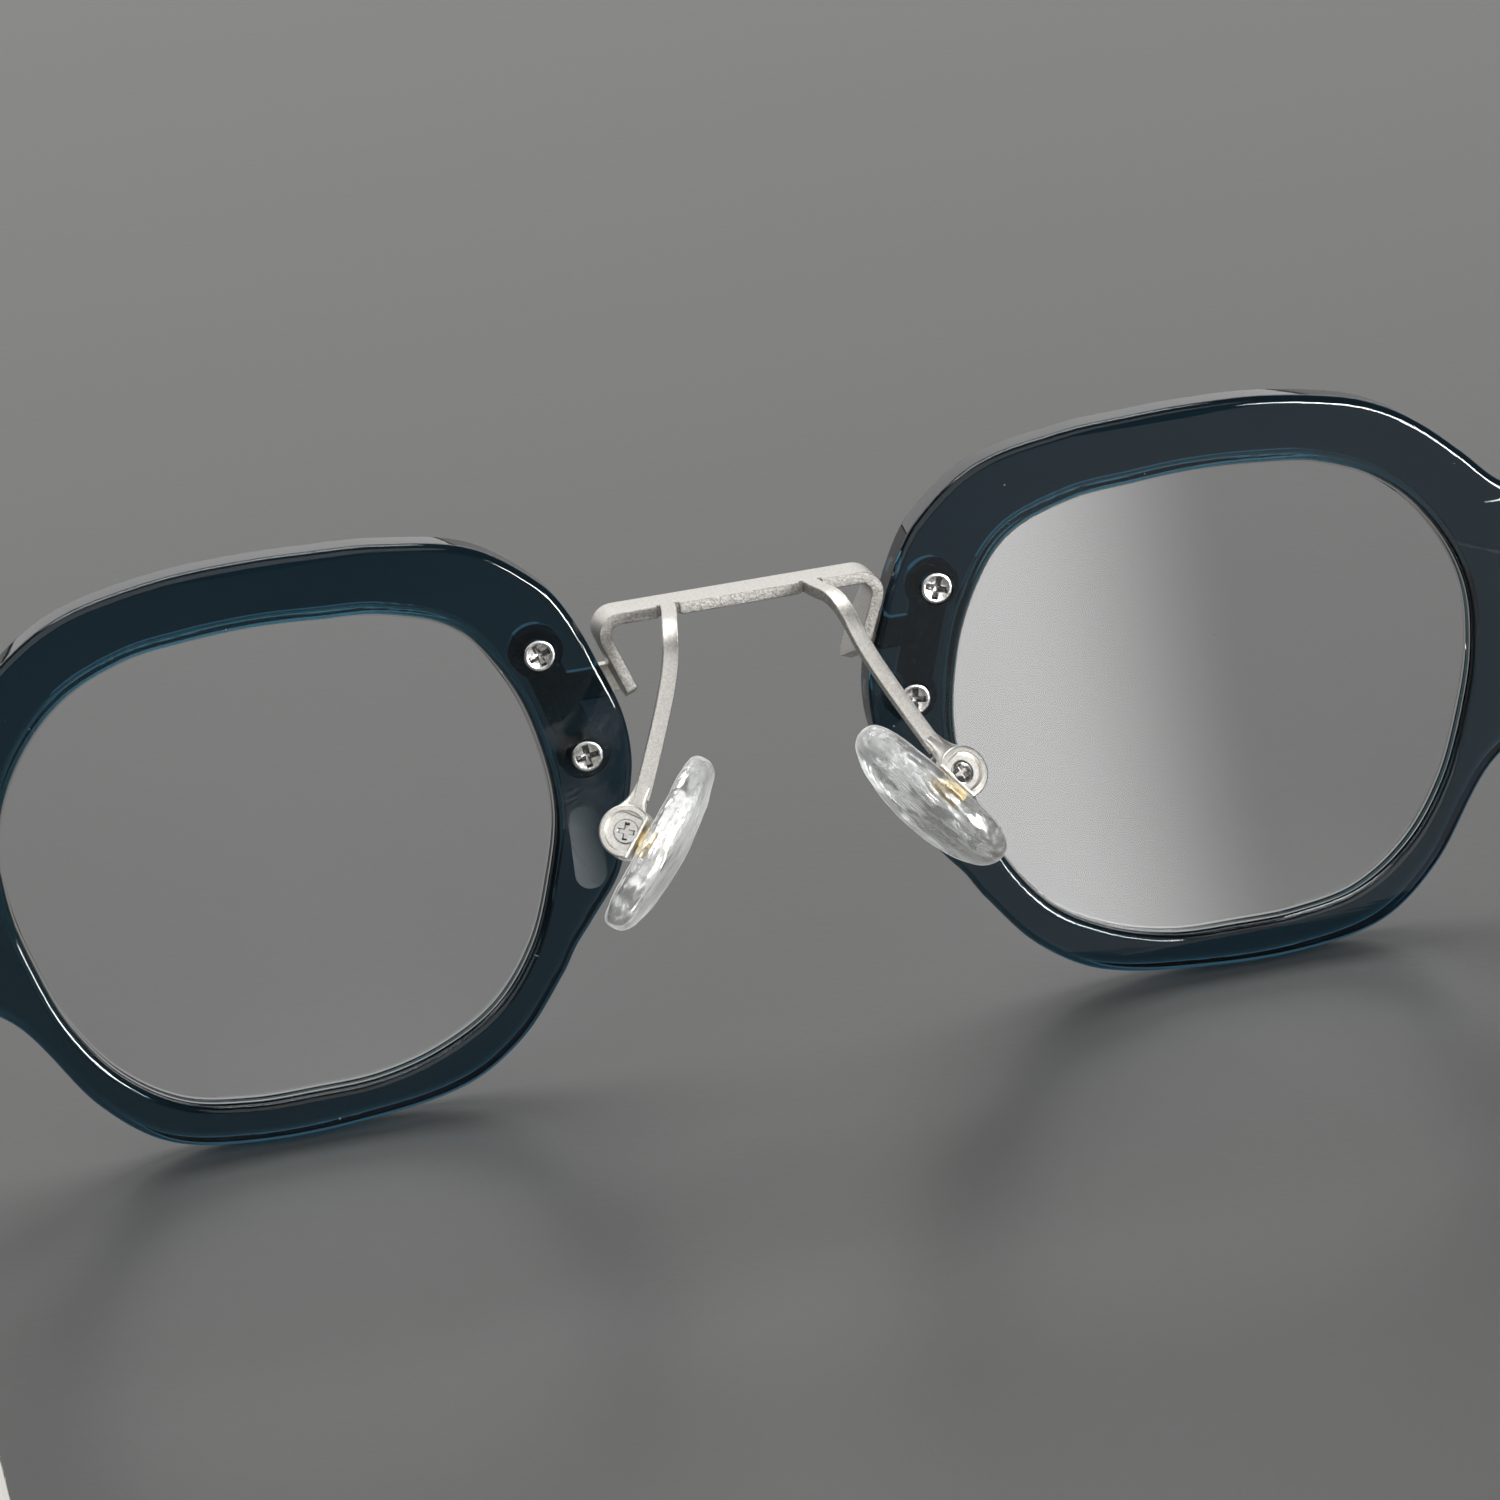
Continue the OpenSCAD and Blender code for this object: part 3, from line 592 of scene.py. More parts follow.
def brushed_titanium(colours):
    finish = Finish("polished_titanium")
    finish.set(Metallic=1)
    brushed = finish.noise(2600, 3, 0.6, (1, 0.05, 1))
    dull, bright = ([min(1, c * share) for c in colours.titanium] for share in (0.94, 1.05))
    finish.drive("Base Color", finish.blend(brushed, dull, bright))
    finish.drive("Roughness", finish.range(brushed, 0.3, 0.7, 0.16, 0.28))
    finish.bump((brushed, 0.2, 0.00001))
    return finish.material


def screw_steel(colours):
    """Bright grained steel, with painted shade that darkens its cross recess."""
    finish = Finish("screw_steel")
    finish.set(Metallic=1)
    grain = finish.noise(5200, 3, 0.7)
    # Painted shade: the steel is darkened where the cross recess is
    recess_shade = finish.range(finish.attribute("sunk"), 0, 1, 1, 0.4)
    shade = finish.product(finish.range(grain, 0.3, 0.7, 0.78, 1), recess_shade)
    finish.drive("Base Color", finish.blend(shade, (0, 0, 0), colours.steel))
    finish.drive("Roughness", finish.range(grain, 0.3, 0.7, 0.16, 0.3))
    finish.bump((grain, 0.25, 0.000008))
    return finish.material


def gold_plate(colours):
    finish = Finish("gold_insert")
    finish.set(Metallic=1)
    grain = finish.noise(5000, 3, 0.7)
    finish.drive("Base Color", finish.blend(grain, [c * 0.85 for c in colours.gold], colours.gold))
    finish.drive("Roughness", finish.range(grain, 0.3, 0.7, 0.22, 0.36))
    finish.bump((grain, 0.3, 0.00002))
    return finish.material


def clear_silicone(colours):
    """Glassy pads with milky edges and patches, and fine contour lines round the core."""
    finish = Finish("clear_silicone")
    finish.set(Base_Color=(*colours.silicone, 1), IOR=1.42, Transmission_Weight=1)
    finish.where = finish.attribute("pad_place", "Vector")
    streaks = finish.noise(1, 3, 0.55, (1.1, 0.8, 0.35))
    finish.drive("Roughness", finish.range(streaks, 0.3, 0.7, 0.02, 0.1))
    waves = finish.noise(0.7, 2, 0.5, (1, 1, 0.6))
    wave = finish.add(
        "ShaderNodeTexWave", {"wave_type": "RINGS", "rings_direction": "X"},
        Scale=1, Distortion=7, Detail=2, Detail_Scale=0.5,
    )
    finish.link(finish.squeezed((1, 1, 0.42)), wave.inputs["Vector"])
    rings = wave.outputs["Fac"]
    normal = finish.bump((waves, 0.8, 0.0006), (rings, 0.5, 0.00006))
    white = (0.99, 0.99, 0.98, 1)
    milk = finish.add("ShaderNodeMixShader")
    milk.inputs[0].default_value = 0.5
    for socket, kind in ((1, "ShaderNodeBsdfDiffuse"), (2, "ShaderNodeBsdfTranslucent")):
        finish.link(finish.add(kind, Color=white).outputs[0], milk.inputs[socket])
    finish.over(finish.range(streaks, 0.4, 0.62, 0.06, 0.4), milk.outputs[0])
    far = finish.add("ShaderNodeVectorMath", {"operation": "LENGTH"})
    finish.link(finish.squeezed((0, 0.45, 0.22)), far.inputs[0])
    over_core = finish.range(far.outputs["Value"], 0.75, 1.05, 0.7, 0)
    lines = finish.range(rings, 0.35, 0.65, 0, 1)
    finish.over(finish.product(over_core, lines), milk.outputs[0])
    shine = finish.add("ShaderNodeBsdfGlossy", Color=white, Roughness=0.27)
    finish.link(normal, shine.inputs["Normal"])
    patches = finish.noise(0.42, 2, 0.5, (1, 1, 0.6))
    finish.over(finish.range(patches, 0.47, 0.53, 0.03, 0.8), shine.outputs[0])
    edges = finish.add("ShaderNodeLayerWeight", Blend=0.5).outputs["Facing"]
    finish.over(finish.range(edges, 0.5, 0.85, 0, 0.9), milk.outputs[0])
    finish.let_light_through((0.82, 0.83, 0.83), 0.6)
    return finish.material


FINISHES = {
    "teal_acetate": acetate,
    "clear_lens": lens_glass,
    "satin_titanium": satin_titanium,
    "polished_titanium": brushed_titanium,
    "screw_steel": screw_steel,
    "gold_insert": gold_plate,
    "clear_silicone": clear_silicone,
}


def finish_of(slot):
    """A slot's finish, made the first time that it is asked for."""
    made = bpy.data.materials.get(f"{slot}_finish")
    return made or FINISHES[slot](bpy.context.scene.eyewear_colours)


# Rims and lenses
# The recess beside the pad bracket is scooped out by an upright capsule
RECESS_R, RECESS_X, RECESS_Y, RECESS_Z = 1.2, 4 - FLANGE, -0.35, (-4.45, -0.65)
# A screw hole's countersunk mouth, head and shank, as (radius, depth) after its start
HOLE = ((1.24, 0.0), (1.17, 0.06), (1.17, 0.6), (0.65, 0.6))


def in_recess(point):
    """Whether a point of a rim's front view, (x, z, y), lies on the wall of its recess."""
    x, z, y = point
    low, top = RECESS_Z
    far = sqrt((x - RECESS_X) ** 2 + (y - RECESS_Y) ** 2 + (z - max(low, min(top, z))) ** 2)
    return abs(far - RECESS_R) < 0.03 and y < 1.5


def pocket_cutters(over=1.0):
    """Cutters for the plates' pockets, the screw holes and the recess beside the pad bracket."""
    floor = RIM_T - PLATE_T - SNUG
    lobes = [dumbbell(*pair, LOBE_R, BAR_HALF) for pair in (BRIDGE_SCREWS, END_SCREWS)]
    half_wrap = WRAP_H / 2 + SNUG
    slots = [
        rectangle(-FLANGE - over, PLATE_REACH - FLANGE, TAB_Z - SNUG, TAB_Z + TAB_H + SNUG),
        rectangle(LUG - PLATE_REACH, LUG + over, HINGE_Z - half_wrap, HINGE_Z + half_wrap),
    ]
    pockets = [
        merged("pockets", [(prism("pocket", loop, floor, RIM_T + over), SAME) for loop in pair])
        for pair in (lobes, slots)
    ]
    hole = turned("hole", [(HOLE[0][0], -over), *HOLE, (HOLE[-1][0], floor + 0.2)])
    holes = merged(
        "holes", [(hole, Matrix.Translation((*p, 0))) for p in BRIDGE_SCREWS + END_SCREWS]
    )
    r, low, top = RECESS_R, *RECESS_Z
    turn = np.linspace(0, pi / 2, 13)
    capsule = [(r * max(sin(a), 0.02), low - r * cos(a)) for a in turn]
    capsule += [(r * max(cos(a), 0.02), top + r * sin(a)) for a in turn]
    upright = Matrix(((1, 0, 0, RECESS_X), (0, 0, 1, 0), (0, 1, 0, RECESS_Y), (0, 0, 0, 1)))
    recess = merged("recess", [(turned("scoop", capsule, 40), upright)])
    return [*pockets, holes, recess]


def opening_curve(steps):
    return spline_loop([(x * HALF_W, z * HALF_H) for x, z in OPENING_SHARES], steps)


def rim_mesh(sizes):
    ease = sizes.rim_edge * 1000
    inner = 0.8 * ease
    deep, front, back = GROOVE_DEEP, GROOVE_Y + GROOVE_W, GROOVE_Y
    rounding = edge_profile(0, RIM_T, inner, inner, 1)
    groove = [(0, front), (deep, front - 0.1), (deep, back + 0.1), (0, back)]
    hole = rounding[: len(rounding) // 2] + groove + rounding[len(rounding) // 2 :]
    outside = (spline_loop(OUTSIDE_KNOTS, 12), edge_profile(0, RIM_T, ease, ease, -1, 6))
    mesh = cut_away(slab("rim", [outside, (opening_curve(14), hole)]), pocket_cutters())
    # Marks the recess's milled wall, with painted light: the marks grow towards the recess's lower
    # end and its side away from the nose
    milled = mesh.attributes.new("milled", "FLOAT", "CORNER")
    low, top = RECESS_Z
    for face in mesh.polygons:
        if all(in_recess(mesh.vertices[i].co) for i in face.vertices):
            for corner, i in zip(face.loop_indices, face.vertices):
                x, z, _ = mesh.vertices[i].co
                frost_and_painted_light = 0.25 + 0.5 * (top - z) / (top - low) + 0.3 * (x - RECESS_X)
                milled.data[corner].value = max(0.06, min(1, frost_and_painted_light))
    mesh.transform(AT_EYE @ FRONT_VIEW)
    return mesh


class EYEWEAR_OT_rims(bpy.types.Operator):
    """Two acetate rims with rounded edges, lens grooves, screw holes and pockets for the plates"""

    bl_idname = "eyewear.rims"
    bl_label = "Rims"

    def execute(self, context):
        mesh = rim_mesh(context.scene.eyewear_sizes)
        settle_pair(mesh, "rim_body", "front", "rim", "teal_acetate")
        return {"FINISHED"}


def lens_mesh():
    opening = opening_curve(10)
    edge = grown(opening, -SNUG)
    ridge = grown(opening, GROOVE_DEEP - SNUG)

    def dome(points, radius):
        far = np.sum(points**2, axis=1)
        return np.column_stack([points, LENS_APEX - LENS_R + np.sqrt(radius**2 - far)])

    def level(points, depth):
        return np.column_stack([points, np.full(len(points), depth)])

    shares = np.linspace(0.04, 1, 22)
    inset = grown(edge, -0.12)
    front = [dome(inset * s, LENS_R + LENS_T) for s in shares]
    back = [dome(inset * s, LENS_R) for s in shares[::-1]]
    wall_front, wall_back = dome(edge, LENS_R + LENS_T), dome(edge, LENS_R)
    wall_front[:, 2] -= 0.1
    wall_back[:, 2] += 0.1
    low, high = GROOVE_Y + SNUG, GROOVE_Y + GROOVE_W - SNUG
    ridge_rings = [level(ridge, high - 0.1), level(ridge, low + 0.1)]
    middle = [level(edge, high), *ridge_rings, level(edge, low)]
    rings = [*front, wall_front, *middle, wall_back, *back]
    centres = [(0, 0, LENS_APEX + LENS_T), (0, 0, LENS_APEX)]
    mesh = ring_body("lens", rings, centres)
    mesh.transform(AT_EYE @ FRONT_VIEW)
    return mesh


class EYEWEAR_OT_lenses(bpy.types.Operator):
    """Two clear lenses with a ridge that sits in the rims' grooves"""

    bl_idname = "eyewear.lenses"
    bl_label = "Lenses"

    def execute(self, context):
        shading = {"angle": 30, "weighted": False}
        settle_pair(lens_mesh(), "lens_body", "front", "lens", "clear_lens", **shading)
        return {"FINISHED"}


# The bridge is cut flat and then bent: u runs along the ribbon, v from back to front
STRIP_SLANT = radians(20.7)
BEND_R = 1.15
STRIP_X, STRIP_Z = EYE_X - FLANGE - 0.49, 8.2
BEND_TURN = pi / 2 + STRIP_SLANT
CORNER_X = STRIP_X + (RIBBON_MID - STRIP_Z) * tan(STRIP_SLANT)
BEND_U = CORNER_X - BEND_R * tan(BEND_TURN / 2)
BEND_LENGTH = BEND_R * BEND_TURN
RIBBON_BACK, RIBBON_FRONT = -1.5, 1.8
# A pad arm: its root, the end of its level stretch, where its bracket's neck starts, and its end
ARM_ROOT, ARM_SHELF_V, ARM_TIP, ARM_END = -1.05, -4.2, -16.6, -17.6
ARM_R = 3.725
ARM_TURN = radians(65.2)
ARM_W = 1.1
ARM_PATH = (
    (ARM_ROOT, 5.12), (-1.5, 5.12), (-3.2, 5.42), (-4.9, 5.78), (-6.0, 6.06), (-7.5, 6.38),
    (-8.9, 6.72), (-10.5, 7.32), (-12.1, 8.0), (-13.7, 8.72), (-15.3, 9.45), (-16.9, 10.22),
    (ARM_END, 10.56),
)


def strip_u(z):
    """Place along the flat sheet of a height on a strip."""
    centre_z = RIBBON_MID - BEND_R
    straight_z = centre_z + BEND_R * cos(BEND_TURN)
    if z > straight_z:
        return BEND_U + BEND_R * np.arccos((z - centre_z) / BEND_R)
    return BEND_U + BEND_LENGTH + (straight_z - z) / cos(STRIP_SLANT)


def arm_line():
    """Middle of an arm at even steps along it, in the flat sheet, as (v, u)."""
    v, u = np.array(ARM_PATH).T
    fine = np.arange(ARM_ROOT, ARM_END - 0.01, -0.2)
    fit = np.interp(fine, v[::-1], u[::-1])
    for _ in range(40):
        fit[1:-1] = (fit[:-2] + 2 * fit[1:-1] + fit[2:]) / 4
    return fine, fit


def arm_sides():
    fine, fit = arm_line()
    across = leftwards(np.stack([np.gradient(fit), np.gradient(fine)], 1)) * ARM_W / 2
    middle = np.stack([fit, fine], 1)
    return middle + across, middle - across


def sheet_outline():
    """Outline of the flat sheet, with a small relief cut on both sides of each arm's root."""
    outer, inner = arm_sides()
    relief = 0.25
    x_out, x_in = outer[0][0] + relief, inner[0][0] - relief
    half = [
        (strip_u(12.8), RIBBON_FRONT, 1.0), (strip_u(9.85), RIM_T, 0.8), (strip_u(7.6), RIM_T, 0.5),
        (strip_u(7.2), 2.6, 0.35), (strip_u(8.45), -1.1, 0.12), (strip_u(12.8), RIBBON_BACK, 1.0),
        (x_out, RIBBON_BACK, 0.08), (x_out, ARM_ROOT, 0.1), (outer[0][0], ARM_ROOT, 0.05),
    ]
    half += [(*p, 0) for p in outer[2:]] + [(*p, 0) for p in inner[:1:-1]]
    half += [(inner[0][0], ARM_ROOT, 0.05), (x_in, ARM_ROOT, 0.1), (x_in, RIBBON_BACK, 0.08)]
    whole = half + [(-u, v, r) for u, v, r in reversed(half)]
    return clockwise(rounded_loop(whole, 0.22))


def bent(run, radius, turn, n):
    """How far forwards and down a point n above the middle of a bent sheet comes in a run."""
    angle = min(run / radius, turn)
    rest = run - angle * radius
    ahead = (radius + n) * sin(angle) + rest * cos(angle)
    return ahead, (radius + n) * cos(angle) - radius - rest * sin(angle)


def bend_sheet(points):
    """Bends the flat sheet: the ribbon's ends down to the strips and the arms down to the pads."""
    out = np.empty_like(points)
    for i, (u, v, n) in enumerate(points):
        x, y, rise = u, v, n
        if v < RIBBON_BACK - 0.02:
            if v < ARM_SHELF_V:
                ahead, rise = bent(ARM_SHELF_V - v, ARM_R, ARM_TURN, n)
                y = ARM_SHELF_V - ahead
        elif abs(u) > BEND_U:
            ahead, rise = bent(abs(u) - BEND_U, BEND_R, BEND_TURN, n)
            x = (BEND_U + ahead) * (1 if u > 0 else -1)
        out[i] = x, y, RIBBON_MID + rise
    return out


def inside(loop, points):
    """Which points lie inside a loop."""
    x, y = points[:, 0][:, None], points[:, 1][:, None]
    x0, y0 = loop[:, 0][None], loop[:, 1][None]
    x1, y1 = np.roll(loop, -1, 0)[:, 0][None], np.roll(loop, -1, 0)[:, 1][None]
    crosses = (y0 > y) != (y1 > y)
    with np.errstate(divide="ignore", invalid="ignore"):
        left = x < (x1 - x0) * (y - y0) / (y1 - y0) + x0
    return np.sum(crosses & left, axis=1) % 2 == 1


def bridge_mesh(sizes):
    """The flat sheet with eased walls and an evenly meshed top and bottom, bent to shape."""
    ease = sizes.sheet_edge * 1000
    loop = sheet_outline()
    count = len(loop)
    half = SHEET_T / 2
    profile = edge_profile(-half, half, ease, ease, -1, 3)
    verts = [(*p, n) for g, n in profile for p in grown(loop, g)]
    faces = []
    join_rings(faces, 0, count, len(profile))
    cap = grown(loop, -ease)
    spans = (np.arange(low, high, 0.3) for low, high in zip(loop.min(0), loop.max(0)))
    grid = np.stack(np.meshgrid(*spans), -1).reshape(-1, 2)
    grid = grid[inside(grown(loop, -0.25), grid)]
    flat = [Vector(p) for p in np.concatenate([cap, grid])]
    edges = [(i, (i + 1) % count) for i in range(count)]
    points, _, triangles, origins, _, _ = delaunay_2d_cdt(flat, edges, [], 0, 1e-6)
    middle = np.array([np.mean([points[i] for i in t], axis=0) for t in triangles])
    kept = [t for t, keep in zip(triangles, inside(cap, middle)) if keep]
    source = [o[0] for o in origins]
    first_grid = len(verts)
    for ring, n in ((0, half), (first_grid - count, -half)):
        shift = len(verts) - count
        verts.extend((*p, n) for p in grid)
        for t in kept:
            faces.append([(ring if source[i] < count else shift) + source[i] for i in t])
    mesh = closed_mesh("bridge", bend_sheet(np.array(verts)), faces)
    cut = mesh.attributes.new("cut", "FLOAT", "POINT")
    on_wall = [1.0 if count <= i < first_grid - count else 0.0 for i in range(len(verts))]
    cut.data.foreach_set("value", on_wall)
    return mesh


class EYEWEAR_OT_bridge(bpy.types.Operator):
    """The bridge: one sheet cut flat, bent down at its ends and at both pad arms"""

    bl_idname = "eyewear.bridge"
    bl_label = "Bridge"

    def execute(self, context):
        mesh = bridge_mesh(context.scene.eyewear_sizes)
        settle(mesh, "bridge_sheet", 1, "front", "bridge", "satin_titanium", angle=50)
        return {"FINISHED"}


# Screws: one screw set into every place by geometry nodes
HEAD_R, HEAD_H, SHANK_R, SCREW_L = 1.12, 0.65, 0.6, 2.95
# The cross recess: half an arm's width, its reach and where its corners are cut, then
# (share of the outline, depth) pairs down its walls
CROSS_HALF, CROSS_REACH, CROSS_MID = 0.23, 0.82, 0.27
CROSS_WALLS = ((1.03, -0.3), (1, -0.1), (0.86, 0.3), (0.5, 0.42))
# How far each screw of a rim is turned, in radians, and a pad screw's turn, depth and size
SCREW_TURNS = (0.35, 0.12, 0.2, 0.5)
PAD_SCREW_TURN, PAD_SCREW_Y, PAD_SCREW_SIZE = 0.3, 0.36, 0.76


def screw_mesh():
    profile = [
        (0.25, -0.08), (HEAD_R - 0.3, -0.08), (HEAD_R - 0.24, -0.1), (HEAD_R - 0.1, -0.1),
        (HEAD_R - 0.03, -0.07), (HEAD_R, 0.0), (HEAD_R, HEAD_H - 0.1), (SHANK_R, HEAD_H - 0.1),
        (SHANK_R, SCREW_L - 0.15), (SHANK_R - 0.15, SCREW_L),
    ]
    half, reach, mid = CROSS_HALF, CROSS_REACH, CROSS_MID
    plus = [(half, reach), (half, mid), (mid, half), (reach, half)]
    for _ in range(3):
        plus += [(z, -x) for x, z in plus[-4:]]
    rings = [[(x * share, z * share, depth) for x, z in plus] for share, depth in CROSS_WALLS]
    cross = ring_body("cross", rings, [(0, 0, -0.3), (0, 0, 0.5)])
    mesh = cut_away(turned("screw", profile, 64), [cross])
    # Marks the points in the cross recess, where the steel gets painted shade
    sunk = mesh.attributes.new("sunk", "FLOAT", "POINT")
    in_cross = [-0.07 < v.co.z < 0.5 and v.co.xy.length < 0.9 for v in mesh.vertices]
    sunk.data.foreach_set("value", [float(s) for s in in_cross])
    mesh.transform(FRONT_VIEW)
    face_outwards(mesh)
    softened(mesh, 30)
    return mesh


def screw_places():
    """(place, rotation, size) of each screw on both sides, in the frame."""
    places = []
    for side in SIDES.values():
        flip = MIRROR if side < 0 else SAME
        for (x, z), turn in zip(BRIDGE_SCREWS + END_SCREWS, SCREW_TURNS):
            about = Matrix.Rotation(side * turn, 4, "Y")
            places.append((PLACE @ flip @ Vector((EYE_X + x, 0, z)), LEANING @ about, 1.0))
        at = PLACE @ flip @ (PAD_FRAME @ Vector((0, PAD_SCREW_Y, 0)))
        about = Matrix.Rotation(side * PAD_SCREW_TURN, 4, "Y")
        places.append((at, LEANING @ flip @ pad_turn() @ flip @ about, PAD_SCREW_SIZE))
    return places


def screw_setting_tree():
    """Sets a screw on every point, turned and scaled by the point's own attributes."""
    tree = bpy.data.node_groups.new("Screw setting", "GeometryNodeTree")
    for name, kind in (
        ("Places", "Geometry"), ("Screw", "Object"), ("Scale", "Float"), ("Steel", "Material")
    ):
        tree.interface.new_socket(name, in_out="INPUT", socket_type=f"NodeSocket{kind}")
    tree.interface.new_socket("Screws", in_out="OUTPUT", socket_type="NodeSocketGeometry")
    tree.interface.items_tree["Scale"].default_value = MM
    given, model, turn, size, scaled, setter, real, paint, result = (
        tree.nodes.new(kind) for kind in (
            "NodeGroupInput", "GeometryNodeObjectInfo", "GeometryNodeInputNamedAttribute",
            "GeometryNodeInputNamedAttribute", "ShaderNodeMath", "GeometryNodeInstanceOnPoints",
            "GeometryNodeRealizeInstances", "GeometryNodeSetMaterial", "NodeGroupOutput",
        )
    )
    turn.data_type = "FLOAT_VECTOR"
    turn.inputs[0].default_value = "turn"
    size.inputs[0].default_value = "size"
    scaled.operation = "MULTIPLY"
    for source, out, target, into in (
        (given, "Screw", model, "Object"), (given, "Places", setter, "Points"),
        (model, "Geometry", setter, "Instance"), (turn, "Attribute", setter, "Rotation"),
        (size, "Attribute", scaled, 0), (given, "Scale", scaled, 1), (scaled, 0, setter, "Scale"),
        (setter, 0, real, 0), (real, 0, paint, "Geometry"), (given, "Steel", paint, "Material"),
        (paint, 0, result, 0),
    ):
        tree.links.new(source.outputs[out], target.inputs[into])
    return tree


class EYEWEAR_OT_screws(bpy.types.Operator):
    """Cross-recess screws: four in each rim and one in each pad bracket"""

    bl_idname = "eyewear.screws"
    bl_label = "Screws"

    def execute(self, context):
        places = screw_places()
        mesh = bpy.data.meshes.new("screw_places")
        mesh.from_pydata([tuple(p[0]) for p in places], [], [])
        turn = mesh.attributes.new("turn", "FLOAT_VECTOR", "POINT")
        turn.data.foreach_set("vector", [a for p in places for a in p[1].to_euler()])
        size = mesh.attributes.new("size", "FLOAT", "POINT")
        size.data.foreach_set("value", [p[2] for p in places])
        obj = new_object("rim_screws", mesh)
        model = new_object("screw_model", screw_mesh())
        setting = obj.modifiers.new("screw setting", "NODES")
        setting.node_group = screw_setting_tree()
        sockets = {s.name: s.identifier for s in setting.node_group.interface.items_tree}
        setting[sockets["Screw"]] = model
        setting[sockets["Scale"]] = MM
        setting[sockets["Steel"]] = finish_of("screw_steel")
        baked(obj)
        bpy.data.objects.remove(model)
        for extra in ("turn", "size"):
            if extra in obj.data.attributes:
                obj.data.attributes.remove(obj.data.attributes[extra])
        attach(obj, "front")
        kinds = ("bridge_screws", "end_screws", "pad_screw")
        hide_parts(*(f"{kind}_{name}" for kind in kinds for name in SIDES))
        return {"FINISHED"}


# Pad brackets and pads
# Width of the slot that a pad's tongue turns in, and radius of the well for the screw's head
SLOT_W, WELL_R = 1.1, 0.875
# A tongue's eye and bore radii, half its thickness, and half its collar's width and height
EYE_R, BORE_R, TONGUE_HALF, COLLAR_HALF = 0.95, 0.5, 0.5, (1.1, 1.15)
# Half the width, height and thickness of the clear plate in a pad
CORE_HALF = (1.9, 4.0, 0.25)


def squared(share, power):
    """A sine or cosine pushed outwards, so that it draws a squarer round."""
    return np.sign(share) * np.abs(share) ** power


def bracket_outline(r, flat):
    start = pi - np.arccos(flat / r)
    return clockwise(arc(r, np.linspace(start, -start, 60)))


def neck_mesh():
    """The flare where an arm's end runs out into its bracket, in the upright drawing."""
    v, u = arm_line()
    tip = Vector(bend_sheet(np.array([(np.interp(-ARM_TIP, -v, u), ARM_TIP, 0)]))[0])
    end = PAD_FRAME @ Vector((0.3, 0.62, 1.1))
    along = (end - tip).normalized()
    across = (PAD_FRAME.to_3x3() @ Vector((1, 0, 0))).normalized()
    start = Vector((cos(0.42), 0, -sin(0.42)))
    rings = []
    for share in np.linspace(0, 1, 15):
        grow = share**2.2
        wide = start.lerp(across, min(1, share * 1.2))
        wide = (wide - wide.dot(along) * along).normalized()
        thick = along.cross(wide)
        half_w, half_t = 0.55 + 0.72 * grow, 0.44 + 0.16 * grow
        power = 0.3 + 0.45 * min(1, share * 1.6)
        middle = tip + (end - tip) * share
        wide, thick = wide * half_w, thick * half_t
        rings.append([
            tuple(middle + wide * squared(cos(a), power) + thick * squared(sin(a), power))
            for a in np.linspace(0, 2 * pi, 40, endpoint=False)
        ])
    return ring_body("neck", rings, [tuple(tip), tuple(end)])


def bracket_mesh():
    """A flat-sided drum with a seat and a well for its screw, and a slot for the pad's tongue."""
    blank = slab("bracket", [
        (bracket_outline(BOX_R, BOX_FLAT), edge_profile(0, BOX_L, 0.16, 0.2, -1, 5))
    ])
    bevel = [(0.3, -0.3), (0.07, 0), (0, 0.07), (0, 0.4)]
    seat = slab("seat", [(bracket_outline(BOX_R - 0.47, BOX_FLAT - 0.26), bevel)])
    well = prism("well", circle(WELL_R, 48), -0.5, 0.62)
    cheek = (BOX_L - SLOT_W) / 2
    mouth = prism("mouth", rectangle(-3, 1.25, -5, 5), cheek, cheek + SLOT_W)
    mesh = cut_away(blank, [seat, well, mouth])
    mesh.transform(PAD_FRAME @ FRONT_VIEW)
    return merged("bracket", [(mesh, SAME), (neck_mesh(), SAME)])


class EYEWEAR_OT_brackets(bpy.types.Operator):
    """The round brackets with one flat side that end the pad arms"""

    bl_idname = "eyewear.brackets"
    bl_label = "Pad Brackets"

    def execute(self, context):
        settle_pair(bracket_mesh(), "pad_bracket", "front", "pad_box", "satin_titanium")
        return {"FINISHED"}


def pad_outline():
    angles = np.linspace(0, 2 * pi, 72, endpoint=False)
    swell = 1 - 0.09 * np.sin(angles)
    wide = PAD_W / 2 * swell * squared(np.cos(angles), 0.86)
    return clockwise(np.stack([wide, PAD_L / 2 * squared(np.sin(angles), 0.94)], 1))


